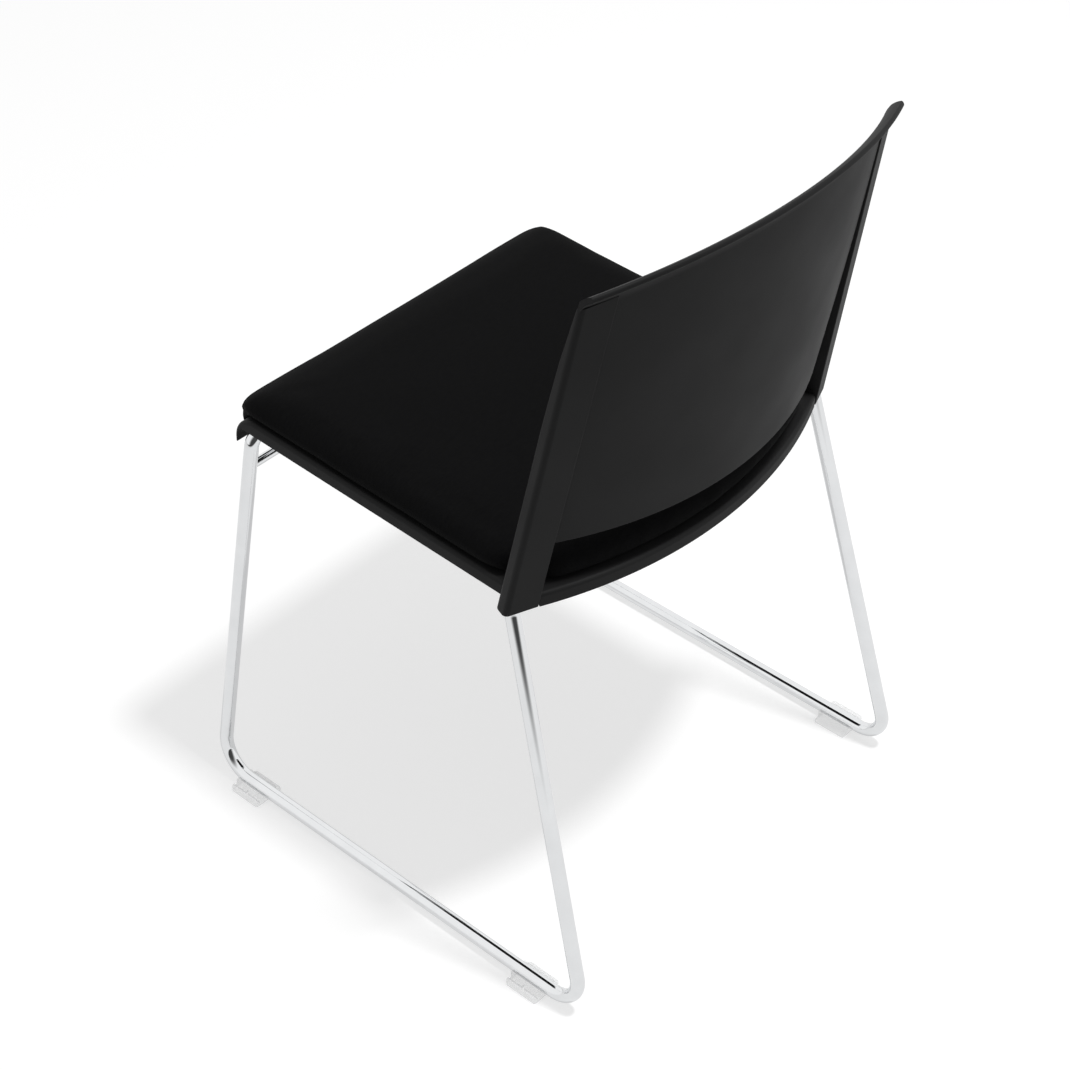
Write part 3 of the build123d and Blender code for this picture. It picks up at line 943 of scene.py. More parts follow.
@dataclass
class Glides:
    """Four clear clips under the runners."""

    stance: Stance
    base: RodBase
    length: float = 0.038
    wall: float = 0.003
    flange: float = 0.010
    groove: float = 0.0035
    lip_w: float = 0.0045
    lip_h: float = 0.007
    rib_t: float = 0.003
    corner_r: float = 0.003
    corner_steps: int = 5
    fit: float = 0.00015
    rear_setback: float = 0.063
    front_setback: float = 0.048
    edge: float = 0.0004
    slot: str = "clear_plastic"

    def clip(self, name: str, setback: float, heading: float) -> Object:
        """One clip under the left runner.

        Args:
            name: Name of the new object.
            setback: Its middle from the runner's corner point.
            heading: 1 for the rear, -1 for the front.

        Returns:
            The clip, in place.
        """
        stance = self.stance
        half = stance.rod_d / 2
        wall = half + self.wall
        groove = wall + self.groove
        outer = groove + self.lip_w
        inner = half + self.flange
        low, high = stance.glide_base_t, stance.runner_z
        outline = (
            (-inner, 0), (outer, 0), (outer, self.lip_h), (groove, self.lip_h), (groove, low), (wall, low),
            (wall, high), (-wall, high), (-wall, low), (-inner, low),
        )
        middle = Vector((stance.runner_spacing / 2, heading * (stance.runner_length / 2 - setback), 0.0))
        ahead = Y_AXIS * self.length
        start = middle - ahead / 2
        body = prism(name, [start + Vector((x, 0, z)) for x, z in outline], ahead)
        ends = (middle.x - inner, middle.x + outer)

        def upright_end(first: Vector, second: Vector) -> bool:
            """Whether an edge stands on an outer end of the clip."""
            upright = (first.xy - second.xy).length < NEAR
            return upright and min(abs(first.x - end) for end in ends) < NEAR

        round_edges(body, upright_end, self.corner_r, self.corner_steps)
        side = self.rib_t / 2
        corners = ((wall, -side), (groove, -side), (groove, side), (wall, side))
        rib = [middle + Vector((x, y, low)) for x, y in corners]
        combine(body, prism("rib", rib, Z_AXIS * (self.lip_h - low)), Mix.ADD)
        axis = middle + Z_AXIS * stance.runner_z
        channel = self.base.tube("channel", [axis - ahead, axis + ahead], [], stance.rod_d + 2 * self.fit)
        combine(body, channel, Mix.CUT)
        soften(body, self.edge)
        smooth(body)
        return body

    def build(self, palette: Palette) -> None:
        """Build and finish the four clips.

        Args:
            palette: The finishes.
        """
        ends = {"front": (self.front_setback, -1.0), "rear": (self.rear_setback, 1.0)}
        for end, (setback, heading) in ends.items():
            left = self.clip(f"clear_glide_{end}_left", setback, heading)
            right = mirrored(left, f"clear_glide_{end}_right")
            palette.dress(left, self.slot, f"glide_{end}_left")
            palette.dress(right, self.slot, f"glide_{end}_right")


@dataclass
class SeatShell:
    """Thin moulded pan with a rolled front, a rim, bosses and ribs, drawn level and then sloped."""

    stance: Stance
    base: RodBase
    width: float = 0.410
    front: float = 0.221
    rear: float = 0.1915
    rear_r: float = 0.470
    skirt: float = 0.014
    edge_r: float = 0.004
    roll_r: float = 0.027
    nose_drop: float = 0.005
    nose_round: float = 0.0015
    boss_d: float = 0.016
    rib_t: float = 0.0025
    rib_h: float = 0.008
    rib_spacing: float = 0.060
    rib_length: float = 0.230
    rib_middle: float = -0.015
    post_gap: float = 0.0003
    roll_steps: int = 16
    arc_steps: int = 64
    arc_slack: float = 1e-4
    edge_steps: int = 5
    nose_steps: int = 4
    boss_sides: int = 24
    cut_margin: float = 1.1
    edge: float = 0.0004
    slot: str = "black_plastic"

    def plan(self, inset: float, z: float) -> list[Vector]:
        """Outline of the shell from above, drawn in by an inset.

        Args:
            inset: How far inside the outer face.
            z: Level of the outline.

        Returns:
            The corners in order.
        """
        stance = self.stance
        gap = self.post_gap + inset
        half, front, radius = self.width / 2 - inset, self.front - inset, self.rear_r - inset
        middle = self.rear - self.rear_r
        notch_y = stance.post_point(stance.bend.z, -stance.post_out, -stance.post_front).y - gap
        inner = stance.post_point(stance.shell_rear_z, stance.post_in + gap, 0.0)
        near = inner + stance.post_v * ((notch_y - inner.y) / stance.post_v.y)
        run = Vector((near.x, near.y - middle))
        toward = run.dot(stance.post_v.xy)
        far = near + stance.post_v * (math.sqrt(toward ** 2 + radius ** 2 - run.length_squared) - toward)
        reach = math.degrees(math.asin(far.x / radius))
        rear = arc(Vector((0, middle, z)), Y_AXIS, X_AXIS, radius, reach, -reach, self.arc_steps)
        side = [(half, -front), (half, near.y), (near.x, near.y)]
        left = [Vector((x, y, z)) for x, y in side]
        right = [Vector((-x, y, z)) for x, y in reversed(side)]
        return [*left, *rear, *right]

    @property
    def roll_middle(self) -> Vector:
        """Middle of the rolled front, before the seat is sloped."""
        return Vector((0, self.roll_r - self.front, -self.roll_r))

    def profile(self, radius: float, start: float, top: float, low: float) -> list[Vector]:
        """Side view of the rolled front with a level line behind it.

        Args:
            radius: Radius of the roll.
            start: Angle of the roll from the top, in degrees, where the level line meets it.
            top: Height of the level line.
            low: Lowest edge.

        Returns:
            The corners in order, on the right side of the seat.
        """
        side, back = -self.width / 2, self.rear + self.edge_r
        centre = self.roll_middle + X_AXIS * side
        roll = arc(centre, Z_AXIS, -Y_AXIS, radius, start, 90.0, self.roll_steps)
        end = roll[-1]
        return [Vector((side, back, top)), *roll, Vector((side, end.y, low)), Vector((side, back, low))]

    def side_block(self, name: str, profile: list[Vector]) -> Object:
        """Solid as wide as the seat, from its side view."""
        return prism(name, profile, X_AXIS * self.width)

    def block(self) -> Object:
        """Full block of the shell.

        Returns:
            The block, its upper edges rounded.
        """
        low = -self.roll_r - self.nose_drop
        block = self.side_block("seat_pan", self.profile(self.roll_r, 0.0, 0.0, low))
        half = self.width / 2

        def upper_side(first: Vector, second: Vector) -> bool:
            """Find the edges along the sides on top of the block.

            Args:
                first: One end of an edge.
                second: Its other end.

            Returns:
                Whether it is one of them.
            """
            on_side = abs(abs(first.x) - half) < NEAR and abs(first.x - second.x) < NEAR
            at_back = min(first.y, second.y) > self.rear
            return on_side and not at_back and max(first.z, second.z) > low + NEAR

        round_edges(block, upper_side, self.edge_r, self.edge_steps)
        outline = self.plan(0.0, low - self.edge_r)
        combine(block, prism("plan", outline, Z_AXIS * (2 * self.roll_r + self.edge_r)), Mix.KEEP)
        middle = Vector((0, self.rear - self.rear_r))

        def upper_rear(first: Vector, second: Vector) -> bool:
            """Find the edges along the curved rear on top.

            Args:
                first: One end of an edge.
                second: Its other end.

            Returns:
                Whether it is one of them.
            """
            ends = (first, second)
            on_arc = all(abs((co.xy - middle).length - self.rear_r) < self.arc_slack for co in ends)
            return on_arc and min(co.z for co in ends) > -NEAR

        round_edges(block, upper_rear, self.edge_r, self.edge_steps)
        return block

    def hollow(self, block: Object) -> None:
        """Take out what is below the rim's edge and inside the rim.

        Args:
            block: The block, which is changed.
        """
        inner_r = self.roll_r - self.stance.pan_t
        low = -self.roll_r - 3 * self.nose_drop
        rim_angle = math.degrees(math.acos((self.roll_r - self.skirt) / inner_r))
        below = self.side_block("below_rim", self.profile(inner_r, rim_angle, -self.skirt, low))
        below.data.transform(Matrix.Scale(self.cut_margin, 4, X_AXIS))
        combine(block, below, Mix.CUT)
        inside = self.side_block("inside_rim", self.profile(inner_r, 0.0, -self.stance.pan_t, low))
        room = prism("room", self.plan(self.stance.pan_t, 2 * low), Z_AXIS * (-3 * low))
        combine(inside, room, Mix.KEEP)
        combine(block, inside, Mix.CUT)

    def underside(self, shell: Object) -> None:
        """Add the bosses for the tabs and the stiffening ribs.

        Args:
            shell: The hollow shell, which is changed.
        """
        stance = self.stance
        for x, y in stance.tab_screws().values():
            seat = Vector((x, y, stance.tab_top))
            outline = circle(seat, X_AXIS, Y_AXIS, self.boss_d / 2, self.boss_sides)
            combine(shell, prism("boss", outline, Z_AXIS * (stance.boss_h + stance.pan_t / 2)), Mix.ADD)
        high, low = -stance.pan_t / 2, -stance.pan_t - self.rib_h
        start, end = (self.rib_middle + side * self.rib_length / 2 for side in (-1, 1))
        outline = [(start, high), (start + self.rib_h, low), (end - self.rib_h, low), (end, high)]
        for x in (-self.rib_spacing, 0.0, self.rib_spacing):
            corners = [Vector((x - self.rib_t / 2, y, z)) for y, z in outline]
            combine(shell, prism("rib", corners, X_AXIS * self.rib_t), Mix.ADD)

    def build(self, palette: Palette) -> None:
        """Build and finish the shell.

        Args:
            palette: The finishes.
        """
        shell = self.block()
        self.hollow(shell)
        tip, half = NEAR - self.roll_r - self.nose_drop, self.width / 2

        def on_nose(first: Vector, second: Vector) -> bool:
            """Whether an edge runs along the nose's tip."""
            return max(first.z, second.z) < tip and abs(first.x - second.x) > half

        round_edges(shell, on_nose, self.nose_round, self.nose_steps)
        self.underside(shell)
        shell.data.transform(self.stance.seat)
        combine(shell, self.base.rear_bar_room("bar_room"), Mix.CUT)
        face_outwards(shell)
        soften(shell, self.edge)
        smooth(shell)
        palette.dress(shell, self.slot, "seat_shell")


@dataclass
class SeatPad:
    """Padded cushion, swollen by a short cloth simulation."""

    stance: Stance
    shell: SeatShell
    voxel: float = 0.0045
    grow: float = 0.0036
    roll_gap: float = 0.0003
    roll_blend: float = 0.012
    facing_span: float = 0.15
    post_room: float = 0.030
    post_span: float = 0.015
    pressure: float = 2.0
    frames: int = 20
    cap: float = 0.0015
    held_share: float = 0.5
    smooth_share: float = 0.5
    smoothing: int = 9
    fill: float = 0.8
    slot: str = "black_fabric"
    node: str = "seat_cushion"

    def blank(self) -> Object:
        """Start of the cushion.

        Returns:
            An evenly meshed copy of the cushion's solid with rounder edges.
        """
        pad = duplicate(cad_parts[self.node], "padded_cushion", Matrix.Identity(4))
        pad.parent = None
        for key in list(pad.keys()):
            del pad[key]
        face_outwards(pad)
        take_up(pad)
        pad.data.remesh_voxel_size = self.voxel
        bpy.ops.object.voxel_remesh()
        self.relax(pad)
        return pad

    def relax(self, pad: Object) -> None:
        """Even out the cover.

        Args:
            pad: The cushion, which is changed.
        """
        pick(pad)
        with editing(pad):
            bpy.ops.mesh.vertices_smooth(factor=self.smooth_share, repeat=self.smoothing)

    def clear_roll(self, pad: Object) -> None:
        """Lift the cover's inside off the shell's rolled front.

        Args:
            pad: The cushion, which is changed.
        """
        level, radius = self.stance.seat.inverted(), self.shell.roll_r + self.roll_gap
        middle = self.shell.roll_middle
        for vertex in pad.data.vertices:
            place = level @ vertex.co
            spoke = Vector((0, place.y - middle.y, place.z - middle.z))
            if spoke.y < self.roll_blend and 0 < spoke.z and spoke.length < radius:
                vertex.co = self.stance.seat @ (place + spoke * (radius / spoke.length - 1))

    def free(self, point: Vector, normal: Vector) -> float:
        """Share by which a point of the cover may move: none on the shell and beside the posts.

        Args:
            point: Place of the point.
            normal: Direction that the cover faces there.

        Returns:
            From 0, held, to 1, free.
        """
        level = self.stance.seat.inverted()
        spoke = level @ point - self.shell.roll_middle
        facing = (level.to_3x3() @ normal).dot(spoke.normalized())
        post = self.stance.post_axis(point.z)
        away = math.hypot(abs(point.x) - abs(post.x), point.y - post.y)
        shares = (facing / self.facing_span, (away - self.post_room) / self.post_span)
        return math.prod(min(max(share, 0.0), 1.0) for share in shares)

    def fill_out(self, pad: Object) -> list[float]:
        """Push the free cover outwards by the thickness of the padding over the board's edges.

        Args:
            pad: The blank, which is changed.

        Returns:
            The free share of every point.
        """
        shares = [self.free(vertex.co, vertex.normal) for vertex in pad.data.vertices]
        moves = [vertex.normal * (self.grow * share) for vertex, share in zip(pad.data.vertices, shares)]
        for vertex, move in zip(pad.data.vertices, moves):
            vertex.co += move
        return shares

    def swell(self, pad: Object, shares: Sequence[float]) -> None:
        """Blow the cover up a little and keep each point near its start.

        Args:
            pad: The filled blank, which is changed.
            shares: Free share of every point.
        """
        start = [vertex.co.copy() for vertex in pad.data.vertices]
        held = pad.vertex_groups.new(name="held")
        held.add([i for i, share in enumerate(shares) if share < self.held_share], 1.0, "REPLACE")
        cloth = pad.modifiers.new("cover", "CLOTH")
        cloth.settings.use_pressure = True
        cloth.settings.uniform_pressure_force = self.pressure
        cloth.settings.effector_weights.gravity = 0.0
        cloth.settings.vertex_group_mass = held.name
        scene = bpy.context.scene
        for step in range(1, self.frames + 1):
            scene.frame_set(step)
        take_up(pad)
        bpy.ops.object.modifier_apply(modifier=cloth.name)
        scene.frame_set(1)
        for vertex, co in zip(pad.data.vertices, start):
            move = vertex.co - co
            if move.length > self.cap:
                vertex.co = co + move * (self.cap / move.length)
        pad.vertex_groups.clear()

    def build(self, palette: Palette) -> None:
        """Build and finish the cushion.

        Args:
            palette: The finishes.
        """
        pad = self.blank()
        shares = self.fill_out(pad)
        self.swell(pad, shares)
        self.relax(pad)
        self.clear_roll(pad)
        finer = pad.modifiers.new("finer", "SUBSURF")
        finer.levels = 1
        finer.render_levels = 1
        take_up(pad)
        bpy.ops.object.modifier_apply(modifier=finer.name)
        bpy.ops.object.shade_smooth()
        palette.dress(pad, self.slot, self.node)


@dataclass
class MouldedBack:
    """One moulding: two turned posts and a curved panel whose top edge rolls to the rear."""

    stance: Stance
    base: RodBase
    post_rear: float = 0.009
    post_top_t: float = 0.0065
    taper_rise: float = 0.126
    front_r: float = 0.007
    outer_r: float = 0.005
    inner_r: float = 0.0008
    foot_drop: float = 0.0005
    socket_mouth: float = 0.001
    socket_flare: float = 0.008
    panel_t: float = 0.005
    panel_low_z: float = 0.4886
    panel_flare: float = 26.2
    panel_tilt: float = 18.8
    panel_top_r: float = 0.4395
    panel_end: float = 0.012
    panel_top_v: float = 0.0077
    end_z: float = 0.7505
    lip_r: float = 0.0256
    lip_sweep: float = 55.0
    lip_ease: float = 0.0015
    lip_over: float = 0.0005
    corner_r: float = 0.0065
    end_chamfer: float = 0.0018
    sliver: float = 2e-5
    into_lip: float = 0.005
    crest: float = 0.035
    screw_rise: float = 0.022
    screw_sink: float = 0.0005
    screw_head_t: float = 0.0035
    screw_skin: float = 0.0003
    screw_room_d: float = 0.010
    screw_room_sides: int = 24
    ring_half: float = 42.0
    ring_steps: int = 84
    roll_steps: int = 14
    tip_steps: int = 8
    edge: float = 0.0012
    edge_steps: int = 3
    slot: str = "black_plastic"

    @property
    def out(self) -> Vector:
        """Direction to the rear, square to the panel's axis."""
        tilt = math.radians(self.panel_tilt)
        return Vector((0.0, math.cos(tilt), math.sin(tilt)))

    @property
    def up(self) -> Vector:
        """Direction of the panel's axis."""
        tilt = math.radians(self.panel_tilt)
        return Vector((0.0, -math.sin(tilt), math.cos(tilt)))

    @property
    def centre(self) -> Vector:
        """Centre of the panel's curve at the top edge, set by the panel's end in the posts."""
        end = self.stance.post_point(self.end_z, self.panel_end, self.panel_top_v)
        return Vector((0, end.y, end.z)) - self.out * math.sqrt(self.panel_top_r ** 2 - end.x ** 2)

    def post(self) -> Object:
        """Left post, from its foot into the rolled top edge.

        Returns:
            The post, thinned towards the top from its front.
        """
        stance = self.stance
        foot = stance.bend.z - self.foot_drop
        top = self.end_z + 2 * self.lip_r
        rise = stance.upright.normalized()
        across = (rise * stance.post_u.dot(rise) - stance.post_u).normalized()
        ahead = rise.cross(across)
        inner, outer, front = -stance.post_in, stance.post_out, -stance.post_front
        corners = [(inner, front), (outer, front), (outer, self.post_rear), (inner, self.post_rear)]
        section = rounded(corners, [self.front_r, self.front_r, self.outer_r, self.inner_r])
        start = stance.post_axis(foot + inner)
        outline = [start + across * co.x + ahead * co.y for co in section]
        post = prism("post", outline, rise * 2 * (top - foot))
        thick = stance.post_point(stance.bend.z + self.taper_rise, 0.0, front)
        thin = stance.post_point(top, 0.0, self.post_rear - self.post_top_t)
        cut_off(post, stance.post_axis(foot), -Z_AXIS)
        flush = stance.post_point(self.end_z, 0.0, self.panel_top_v - self.panel_t)
        lower = thick.lerp(thin, (self.end_z - self.crest - thick.z) / (thin.z - thick.z))
        cut_off(post, thick, (thin - thick).cross(stance.post_u))
        cut_off(post, lower, (flush - lower).cross(stance.post_u))
        cut_off(post, self.centre + self.up * self.into_lip, self.up)
        soften(post, self.edge)
        return post

    def half_width(self, z: float) -> float:
        """Outermost reach of the posts.

        Args:
            z: Height at which it is taken.

        Returns:
            The distance from the chair's middle plane.
        """
        turn = math.radians(self.stance.post_turn)
        across = (self.stance.post_out - self.outer_r) * math.cos(turn)
        behind = (self.post_rear - self.outer_r) * math.sin(turn)
        return self.stance.post_axis(z).x + (across + behind) + self.outer_r

    def wall_section(self) -> list[Vector]:
        """Section of the panel: a straight wall, then the roll to the rear with a round tip.

        Returns:
            The corners in order, in the chair's middle plane.
        """
        flare, turn = math.radians(self.panel_flare), math.radians(self.lip_sweep)
        rise = self.out * math.sin(flare) + self.up * math.cos(flare)
        rear = self.out * math.cos(flare) - self.up * math.sin(flare)
        rear_top = self.centre + self.out * self.panel_top_r
        front_top = rear_top - rear * self.panel_t
        drop = rise * 2 * (self.end_z - self.panel_low_z)
        curl = front_top + rear * self.lip_r
        spoke = rise * math.sin(turn) - rear * math.cos(turn)
        beyond = rise * math.cos(turn) + rear * math.sin(turn)
        tip = curl + spoke * (self.lip_r - self.panel_t / 2)
        angles = [math.pi * i / self.tip_steps for i in range(1, self.tip_steps)]
        rounding = [
            tip + spoke * (math.cos(a) * self.panel_t / 2) + beyond * (math.sin(a) * self.lip_ease)
            for a in angles
        ]
        return [
            front_top - drop,
            *arc(curl, -rear, rise, self.lip_r, 0.0, self.lip_sweep, self.roll_steps),
            *rounding,
            *arc(curl, -rear, rise, self.lip_r - self.panel_t, self.lip_sweep, 0.0, self.roll_steps),
            rear_top - drop,
        ]

    def rear_outline(self) -> list[Vector]:
        """Panel and top edge from the rear: inside the posts below, as wide as they are above.

        Returns:
            The corners in order, in the chair's cross plane.
        """
        low = self.stance.post_point(self.panel_low_z, self.panel_end, 0.0).x
        high = self.stance.post_point(self.end_z, self.panel_end, 0.0).x
        wide = self.half_width(self.end_z) + self.lip_over
        top_z = self.centre.z + self.lip_r + math.sqrt(self.panel_top_r ** 2 - wide ** 2) * self.out.z
        side = Vector((wide, 0, self.end_z))
        corner = Vector((self.half_width(top_z) + self.lip_over, 0, top_z))
        apex = Vector((0, 0, top_z + self.lip_r))
        to_side, to_apex = (side - corner).normalized(), (apex - corner).normalized()
        half_angle = to_side.angle(to_apex) / 2
        spread = self.corner_r / math.tan(half_angle)
        heart = corner + (to_side + to_apex).normalized() * (self.corner_r / math.sin(half_angle))
        first = (corner + to_side * spread - heart).normalized()
        second = (corner + to_apex * spread - heart).normalized()
        turns = [i / self.tip_steps for i in range(self.tip_steps + 1)]
        rounding = [heart + first.slerp(second, share) * self.corner_r for share in turns]
        left = [Vector((low, 0, self.panel_low_z)), Vector((high, 0, self.end_z)), side, *rounding]
        return [*left, apex, *(Vector((-co.x, 0, co.z)) for co in reversed(left))]

    def panel(self) -> Object:
        """Curved panel with its rolled top edge.

        Returns:
            The rear of a ring round the tilted axis, cut to its outline.
        """
        centre, axis = self.centre, self.up
        half = math.radians(self.ring_half)
        aside = Matrix.Translation(centre) @ Matrix.Rotation(half, 4, axis) @ Matrix.Translation(-centre)
        panel = ring("moulded_back", [aside @ co for co in self.wall_section()])
        pick(panel)
        with editing(panel):
            bpy.ops.mesh.spin(steps=self.ring_steps, angle=2 * half, center=centre, axis=axis)
        face_outwards(panel)
        combine(panel, prism("outline", self.rear_outline(), Y_AXIS * self.panel_top_r), Mix.KEEP)
        self.trim_ends(panel)
        lowest = self.panel_low_z + 10 * NEAR
        round_edges(panel, lambda a, b: max(a.z, b.z) < lowest, self.edge, self.edge_steps)
        return panel

    def trim_ends(self, panel: Object) -> None:
        """Cut the outer front corner off both ends of the rolled top edge.

        Args:
            panel: The panel, which is changed.
        """
        stance = self.stance
        rise = stance.upright.normalized()
        toward = -(stance.post_u + stance.post_v)
        toward = (toward - rise * toward.dot(rise)).normalized()
        aside, behind = self.end_chamfer - stance.post_out, self.panel_top_v - self.panel_t
        corner = stance.post_point(self.end_z, aside, behind)
        for side in (1, -1):
            flip = Matrix.Diagonal((side, 1, 1))
            cut_off(panel, flip @ corner, flip @ toward)

    def socket(self) -> Object:
        """Room for the left upright, one turned shape.

        Returns:
            The solid to cut away: a run-out, a flared mouth and a bore.
        """
        stance = self.stance
        bend, rise = stance.bend, stance.upright.normalized()
        bore_r, mouth_r = stance.rod_d / 2 + stance.socket_clearance, stance.rod_d / 2 + self.socket_mouth
        low = stance.post_axis(bend.z - stance.rod_d)
        top = stance.post_axis(bend.z + stance.upright_rise + stance.socket_clearance)
        aside = rise.orthogonal().normalized()
        mouth, bore = aside * mouth_r, aside * bore_r
        profile = [low, low + mouth, bend + mouth, bend + rise * self.socket_flare + bore, top + bore, top]
        room = ring("socket", profile, filled=False)
        pick(room)
        with editing(room):
            bpy.ops.mesh.spin(steps=self.base.sides, angle=2 * math.pi, center=bend, axis=rise)
            bpy.ops.mesh.select_all(action="SELECT")
            bpy.ops.mesh.remove_doubles(threshold=NEAR)
            bpy.ops.mesh.select_all(action="SELECT")
            bpy.ops.mesh.delete_loose()
        face_outwards(room)
        return room

    def screw_room(self) -> Object:
        """Recess for the left back screw's head.

        Returns:
            The solid to cut away, which stops under a thin skin.
        """
        stance = self.stance
        head_u = stance.post_in - self.screw_sink - self.screw_head_t
        seat = stance.post_point(stance.bend.z + self.screw_rise, head_u, 0.0)
        outline = circle(seat, stance.post_v, Z_AXIS, self.screw_room_d / 2, self.screw_room_sides)
        depth = self.screw_head_t + self.screw_sink - self.screw_skin
        return prism("screw_room", outline, stance.post_u * depth)

    def build(self, palette: Palette) -> None:
        """Build and finish the back.

        Args:
            palette: The finishes.
        """
        back = self.panel()
        left = self.post()
        for tool in (mirrored(left, "post_right"), left):
            combine(back, tool, Mix.ADD)
        for room in (self.socket(), self.screw_room()):
            combine(back, mirrored(room, "room_right"), Mix.CUT)
            combine(back, room, Mix.CUT)
        combine(back, self.base.rear_bar_room("bar_room"), Mix.CUT)
        face_outwards(back, self.sliver)
        smooth(back)
        palette.dress(back, self.slot, "back_shell")


@dataclass
class Fasteners:
    """Hexagon screws under the seat and in the posts, and the cushion's board."""

    stance: Stance
    back: MouldedBack
    seat_screw_d: float = 0.005
    seat_head_d: float = 0.0095
    seat_head_t: float = 0.0035
    pad_screw_d: float = 0.004
    pad_head_d: float = 0.009
    pad_head_t: float = 0.0025
    pad_x: float = 0.090
    pad_front: float = 0.120
    pad_rear: float = 0.090
    tip_cover: float = 0.0015
    board_t: float = 0.006
    pad_fit: float = 0.0002
    bite: float = 0.004
    head_break: float = 0.25
    shank_sink: float = 0.25
    break_steps: int = 2
    head_sides: int = 6
    sides: int = 36
    slot: str = "screw_steel"

    def screw(self, name: str, diameter: float, length: float, head_d: float, head_t: float) -> Object:
        """Screw with its head's upper face at the origin and its shank up.

        Args:
            name: Name of the new object.
            diameter: Diameter of the shank.
            length: Length of the shank.
            head_d: Width of the head across its corners.
            head_t: Height of the head.

        Returns:
            The screw, with its head's outer corners broken.
        """
        head = circle(Z_AXIS * -head_t, X_AXIS, Y_AXIS, head_d / 2, self.head_sides)
        body = prism(name, head, Z_AXIS * head_t)
        lowest = NEAR - head_t
        round_edges(body, lambda a, b: max(a.z, b.z) < lowest, head_t * self.head_break, self.break_steps)
        sunk = head_t * self.shank_sink
        shank = circle(Z_AXIS * -sunk, X_AXIS, Y_AXIS, diameter / 2, self.sides)
        combine(body, prism("shank", shank, Z_AXIS * (length + sunk)), Mix.ADD)
        smooth(body)
        return body

    def build(self, palette: Palette) -> None:
        """Build and finish the screws, and finish the board.

        Args:
            palette: The finishes.
        """
        stance = self.stance
        seat_length = stance.tab_t + stance.boss_h + stance.pan_t - self.tip_cover
        pad_length = stance.pan_t + self.pad_fit + self.board_t - self.tip_cover
        back_u = stance.post_in - self.back.screw_sink - self.seat_head_t
        back_length = back_u - stance.rod_d / 2 + self.bite
        seat_head = (self.seat_head_d, self.seat_head_t)
        pad_head = (self.pad_head_d, self.pad_head_t)
        seat_screw = self.screw("seat_pattern", self.seat_screw_d, seat_length, *seat_head)
        pad_screw = self.screw("pad_pattern", self.pad_screw_d, pad_length, *pad_head)
        back_screw = self.screw("back_pattern", self.seat_screw_d, back_length, *seat_head)
        pad_places = four_places(self.pad_x, -self.pad_front, self.pad_rear)
        tab_under = stance.tab_top - stance.tab_t
        kinds = (
            (seat_screw, "tab_screw_", "seat_screw_", stance.tab_screws(), tab_under),
            (pad_screw, "cushion_screw_", "pad_screw_", pad_places, -stance.pan_t),
        )
        for corner in CORNERS:
            for pattern, name, node, places, height in kinds:
                place = stance.seat @ Matrix.Translation((*places[corner], height))
                palette.dress(duplicate(pattern, name + corner, place), self.slot, node + corner)
        seat = stance.post_point(stance.bend.z + self.back.screw_rise, back_u, 0.0)
        turn = (-stance.post_u).to_track_quat("Z", "Y").to_matrix().to_4x4()
        left = duplicate(back_screw, "post_screw_left", Matrix.Translation(seat) @ turn)
        right = mirrored(left, "post_screw_right")
        palette.dress(left, self.slot, "back_screw_left")
        palette.dress(right, self.slot, "back_screw_right")
        for pattern in (seat_screw, pad_screw, back_screw):
            bpy.data.objects.remove(pattern)
        palette.finish_solid("seat_board", "board")


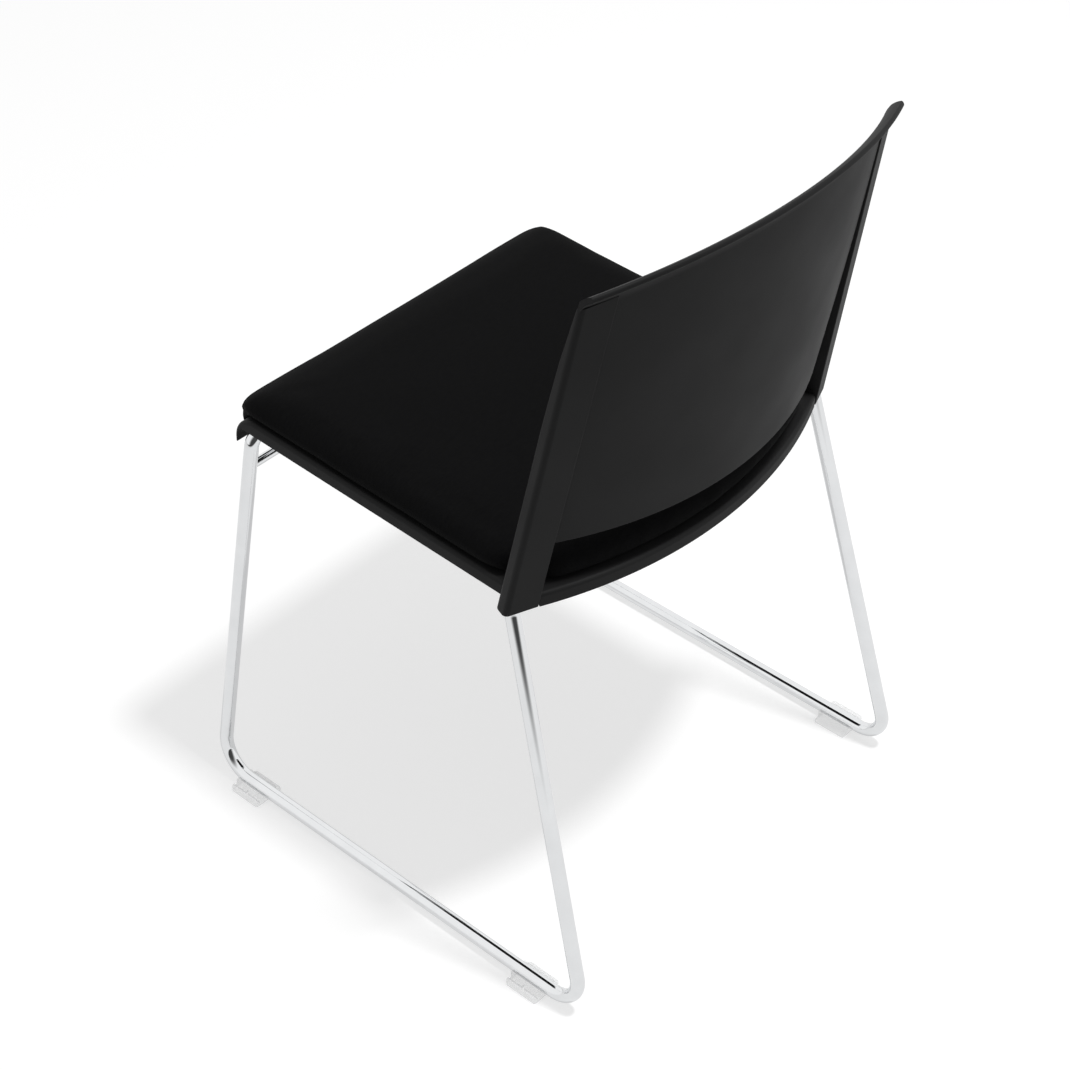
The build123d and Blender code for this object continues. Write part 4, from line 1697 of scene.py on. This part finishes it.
@dataclass
class Studio:
    """Pale floor, soft light and the camera."""

    camera_at: tuple[float, float, float] = (1.37140, 1.20919, 1.80920)
    azimuth: float = 132.126
    elevation: float = 39.517
    lens: float = 82.96
    sensor: float = 36.0
    floor_size: float = 14.0
    floor_shade: float = 0.55
    floor_roughness: float = 0.8
    floor_glow: float = 0.55
    sky: float = 0.50
    key_at: tuple[float, float, float] = (-0.35, 1.29, 4.5)
    key_size: float = 0.5
    key_power: float = 100.0
    open_side: float = 49.7
    # Painted reflection: the span of distance over which the floor is darkened for mirrors only.
    painted_reflection_span: tuple[float, float] = (0.95, 1.90)
    open_room: tuple[float, float] = (0.45, 0.90)
    open_level: float = 0.06
    # Painted reflection: how much the floor is darkened for mirrors near the chair.
    painted_reflection_dimming: float = 0.14

    def either(self, tree: Tree, *kinds: str) -> Socket:
        """Whether a ray is of one of some kinds.

        Args:
            tree: The node tree to add to.
            kinds: Names of the kinds.

        Returns:
            A socket that is 1 for such rays.
        """
        path = tree.nodes.new("ShaderNodeLightPath")
        total = path.outputs[kinds[0]]
        for name in kinds[1:]:
            larger = tree.nodes.new("ShaderNodeMath")
            larger.operation = "MAXIMUM"
            tree.links.new(total, larger.inputs[0])
            tree.links.new(path.outputs[name], larger.inputs[1])
            total = larger.outputs["Value"]
        return total

    def between(
        self, tree: Tree, value: Socket, low: float | Socket, high: float | Socket,
        span: tuple[float, float] = (0.0, 1.0),
    ) -> Socket:
        """Blend between two levels as a value goes over a span.

        Args:
            tree: The node tree to add to.
            value: What decides.
            low: Level at the start of the span, a number or a socket.
            high: Level at its end.
            span: Start and end.

        Returns:
            The socket of the level.
        """
        blend = tree.nodes.new("ShaderNodeMapRange")
        blend.interpolation_type = "SMOOTHSTEP"
        blend.inputs["From Min"].default_value, blend.inputs["From Max"].default_value = span
        tree.links.new(value, blend.inputs["Value"])
        for name, level in (("To Min", low), ("To Max", high)):
            if isinstance(level, float):
                blend.inputs[name].default_value = level
            else:
                tree.links.new(level, blend.inputs[name])
        return blend.outputs["Result"]

    def toward_open_side(self, tree: Tree, coordinates: str) -> Socket:
        """How far a place or direction lies towards the unlit side of the room.

        Args:
            tree: The node tree to add to.
            coordinates: Name of the coordinates to read.

        Returns:
            The socket of the distance.
        """
        side = math.radians(self.open_side)
        along = tree.nodes.new("ShaderNodeVectorMath")
        along.operation = "DOT_PRODUCT"
        along.inputs[1].default_value = (math.cos(side), math.sin(side), 0.0)
        tree.links.new(tree.nodes.new("ShaderNodeTexCoord").outputs[coordinates], along.inputs[0])
        return along.outputs["Value"]

    def floor(self) -> None:
        """Plain pale floor that shows white and keeps the shadow, with a painted reflection: to mirrors
        only it is darkened towards the unlit side.
        """
        settle()
        bpy.ops.mesh.primitive_plane_add(size=self.floor_size)
        plane = bpy.context.object
        plane.name = "floor"
        material = bpy.data.materials.new("pale_floor")
        material.use_nodes = True
        tree = material.node_tree
        surface = tree.nodes["Principled BSDF"]
        surface.inputs["Base Color"].default_value = (self.floor_shade,) * 3 + (1.0,)
        surface.inputs["Roughness"].default_value = self.floor_roughness
        surface.inputs["Specular IOR Level"].default_value = 0.0
        surface.inputs["Emission Color"].default_value = WHITE
        shown = self.either(tree, "Is Camera Ray", "Is Glossy Ray", "Is Transmission Ray")
        tree.links.new(self.between(tree, shown, 0.0, self.floor_glow), surface.inputs["Emission Strength"])
        # Painted reflection: for glossy rays only, the floor is mixed towards black, a little near the
        # chair and almost fully towards the unlit side, to give dark streaks in the chrome.
        loss = (self.painted_reflection_dimming, 1.0 - self.open_level)
        far = self.between(tree, self.toward_open_side(tree, "Object"), *loss, self.painted_reflection_span)
        mixed = tree.nodes.new("ShaderNodeMixShader")
        unlit = tree.nodes.new("ShaderNodeEmission")
        unlit.inputs["Strength"].default_value = 0.0
        share = self.between(tree, self.either(tree, "Is Glossy Ray"), 0.0, far)
        tree.links.new(share, mixed.inputs["Fac"])
        tree.links.new(surface.outputs["BSDF"], mixed.inputs[1])
        tree.links.new(unlit.outputs["Emission"], mixed.inputs[2])
        tree.links.new(mixed.outputs["Shader"], tree.nodes["Material Output"].inputs["Surface"])
        plane.data.materials.append(material)

    def light(self) -> None:
        """White room with one unlit side, and one soft lamp overhead."""
        world = bpy.data.worlds.new("room")
        bpy.context.scene.world = world
        world.use_nodes = True
        tree = world.node_tree
        background = tree.nodes["Background"]
        background.inputs["Color"].default_value = WHITE
        toward = self.toward_open_side(tree, "Generated")
        side = self.between(tree, toward, 1.0, self.open_level, self.open_room)
        lit = self.between(tree, self.either(tree, "Is Glossy Ray"), self.sky, side)
        shown = self.either(tree, "Is Camera Ray", "Is Transmission Ray")
        tree.links.new(self.between(tree, shown, lit, 1.0), background.inputs["Strength"])
        settle()
        bpy.ops.object.light_add(type="AREA", location=self.key_at)
        lamp = bpy.context.object
        lamp.name = "key"
        lamp.data.shape = "DISK"
        lamp.data.size = self.key_size
        lamp.data.energy = self.key_power
        lamp.rotation_euler = Vector(self.key_at).to_track_quat("Z", "Y").to_euler()

    def camera(self) -> None:
        """Camera at the photograph's place."""
        settle()
        turn, rise = math.radians(self.azimuth), math.radians(self.elevation)
        back = Vector((math.sin(turn) * math.cos(rise), -math.cos(turn) * math.cos(rise), math.sin(rise)))
        bpy.ops.object.camera_add(location=self.camera_at, rotation=back.to_track_quat("Z", "Y").to_euler())
        camera = bpy.context.object
        camera.data.sensor_width = self.sensor
        camera.data.lens = self.lens
        bpy.context.scene.camera = camera

    def build(self) -> None:
        """Set the stage."""
        bpy.context.scene.view_settings.view_transform = "Standard"
        self.floor()
        self.light()
        self.camera()


def main() -> None:
    """Build the chair's sub-assemblies in order, then the stage."""
    logging.basicConfig(level=logging.INFO, format="%(name)s: %(message)s")
    stance = Stance()
    palette = Palette()
    base = RodBase(stance)
    back = MouldedBack(stance, base)
    base.build(palette)
    Glides(stance, base).build(palette)
    shell = SeatShell(stance, base)
    shell.build(palette)
    SeatPad(stance, shell).build(palette)
    back.build(palette)
    Fasteners(stance, back).build(palette)
    Studio().build()


if __name__ == "__main__":
    main()
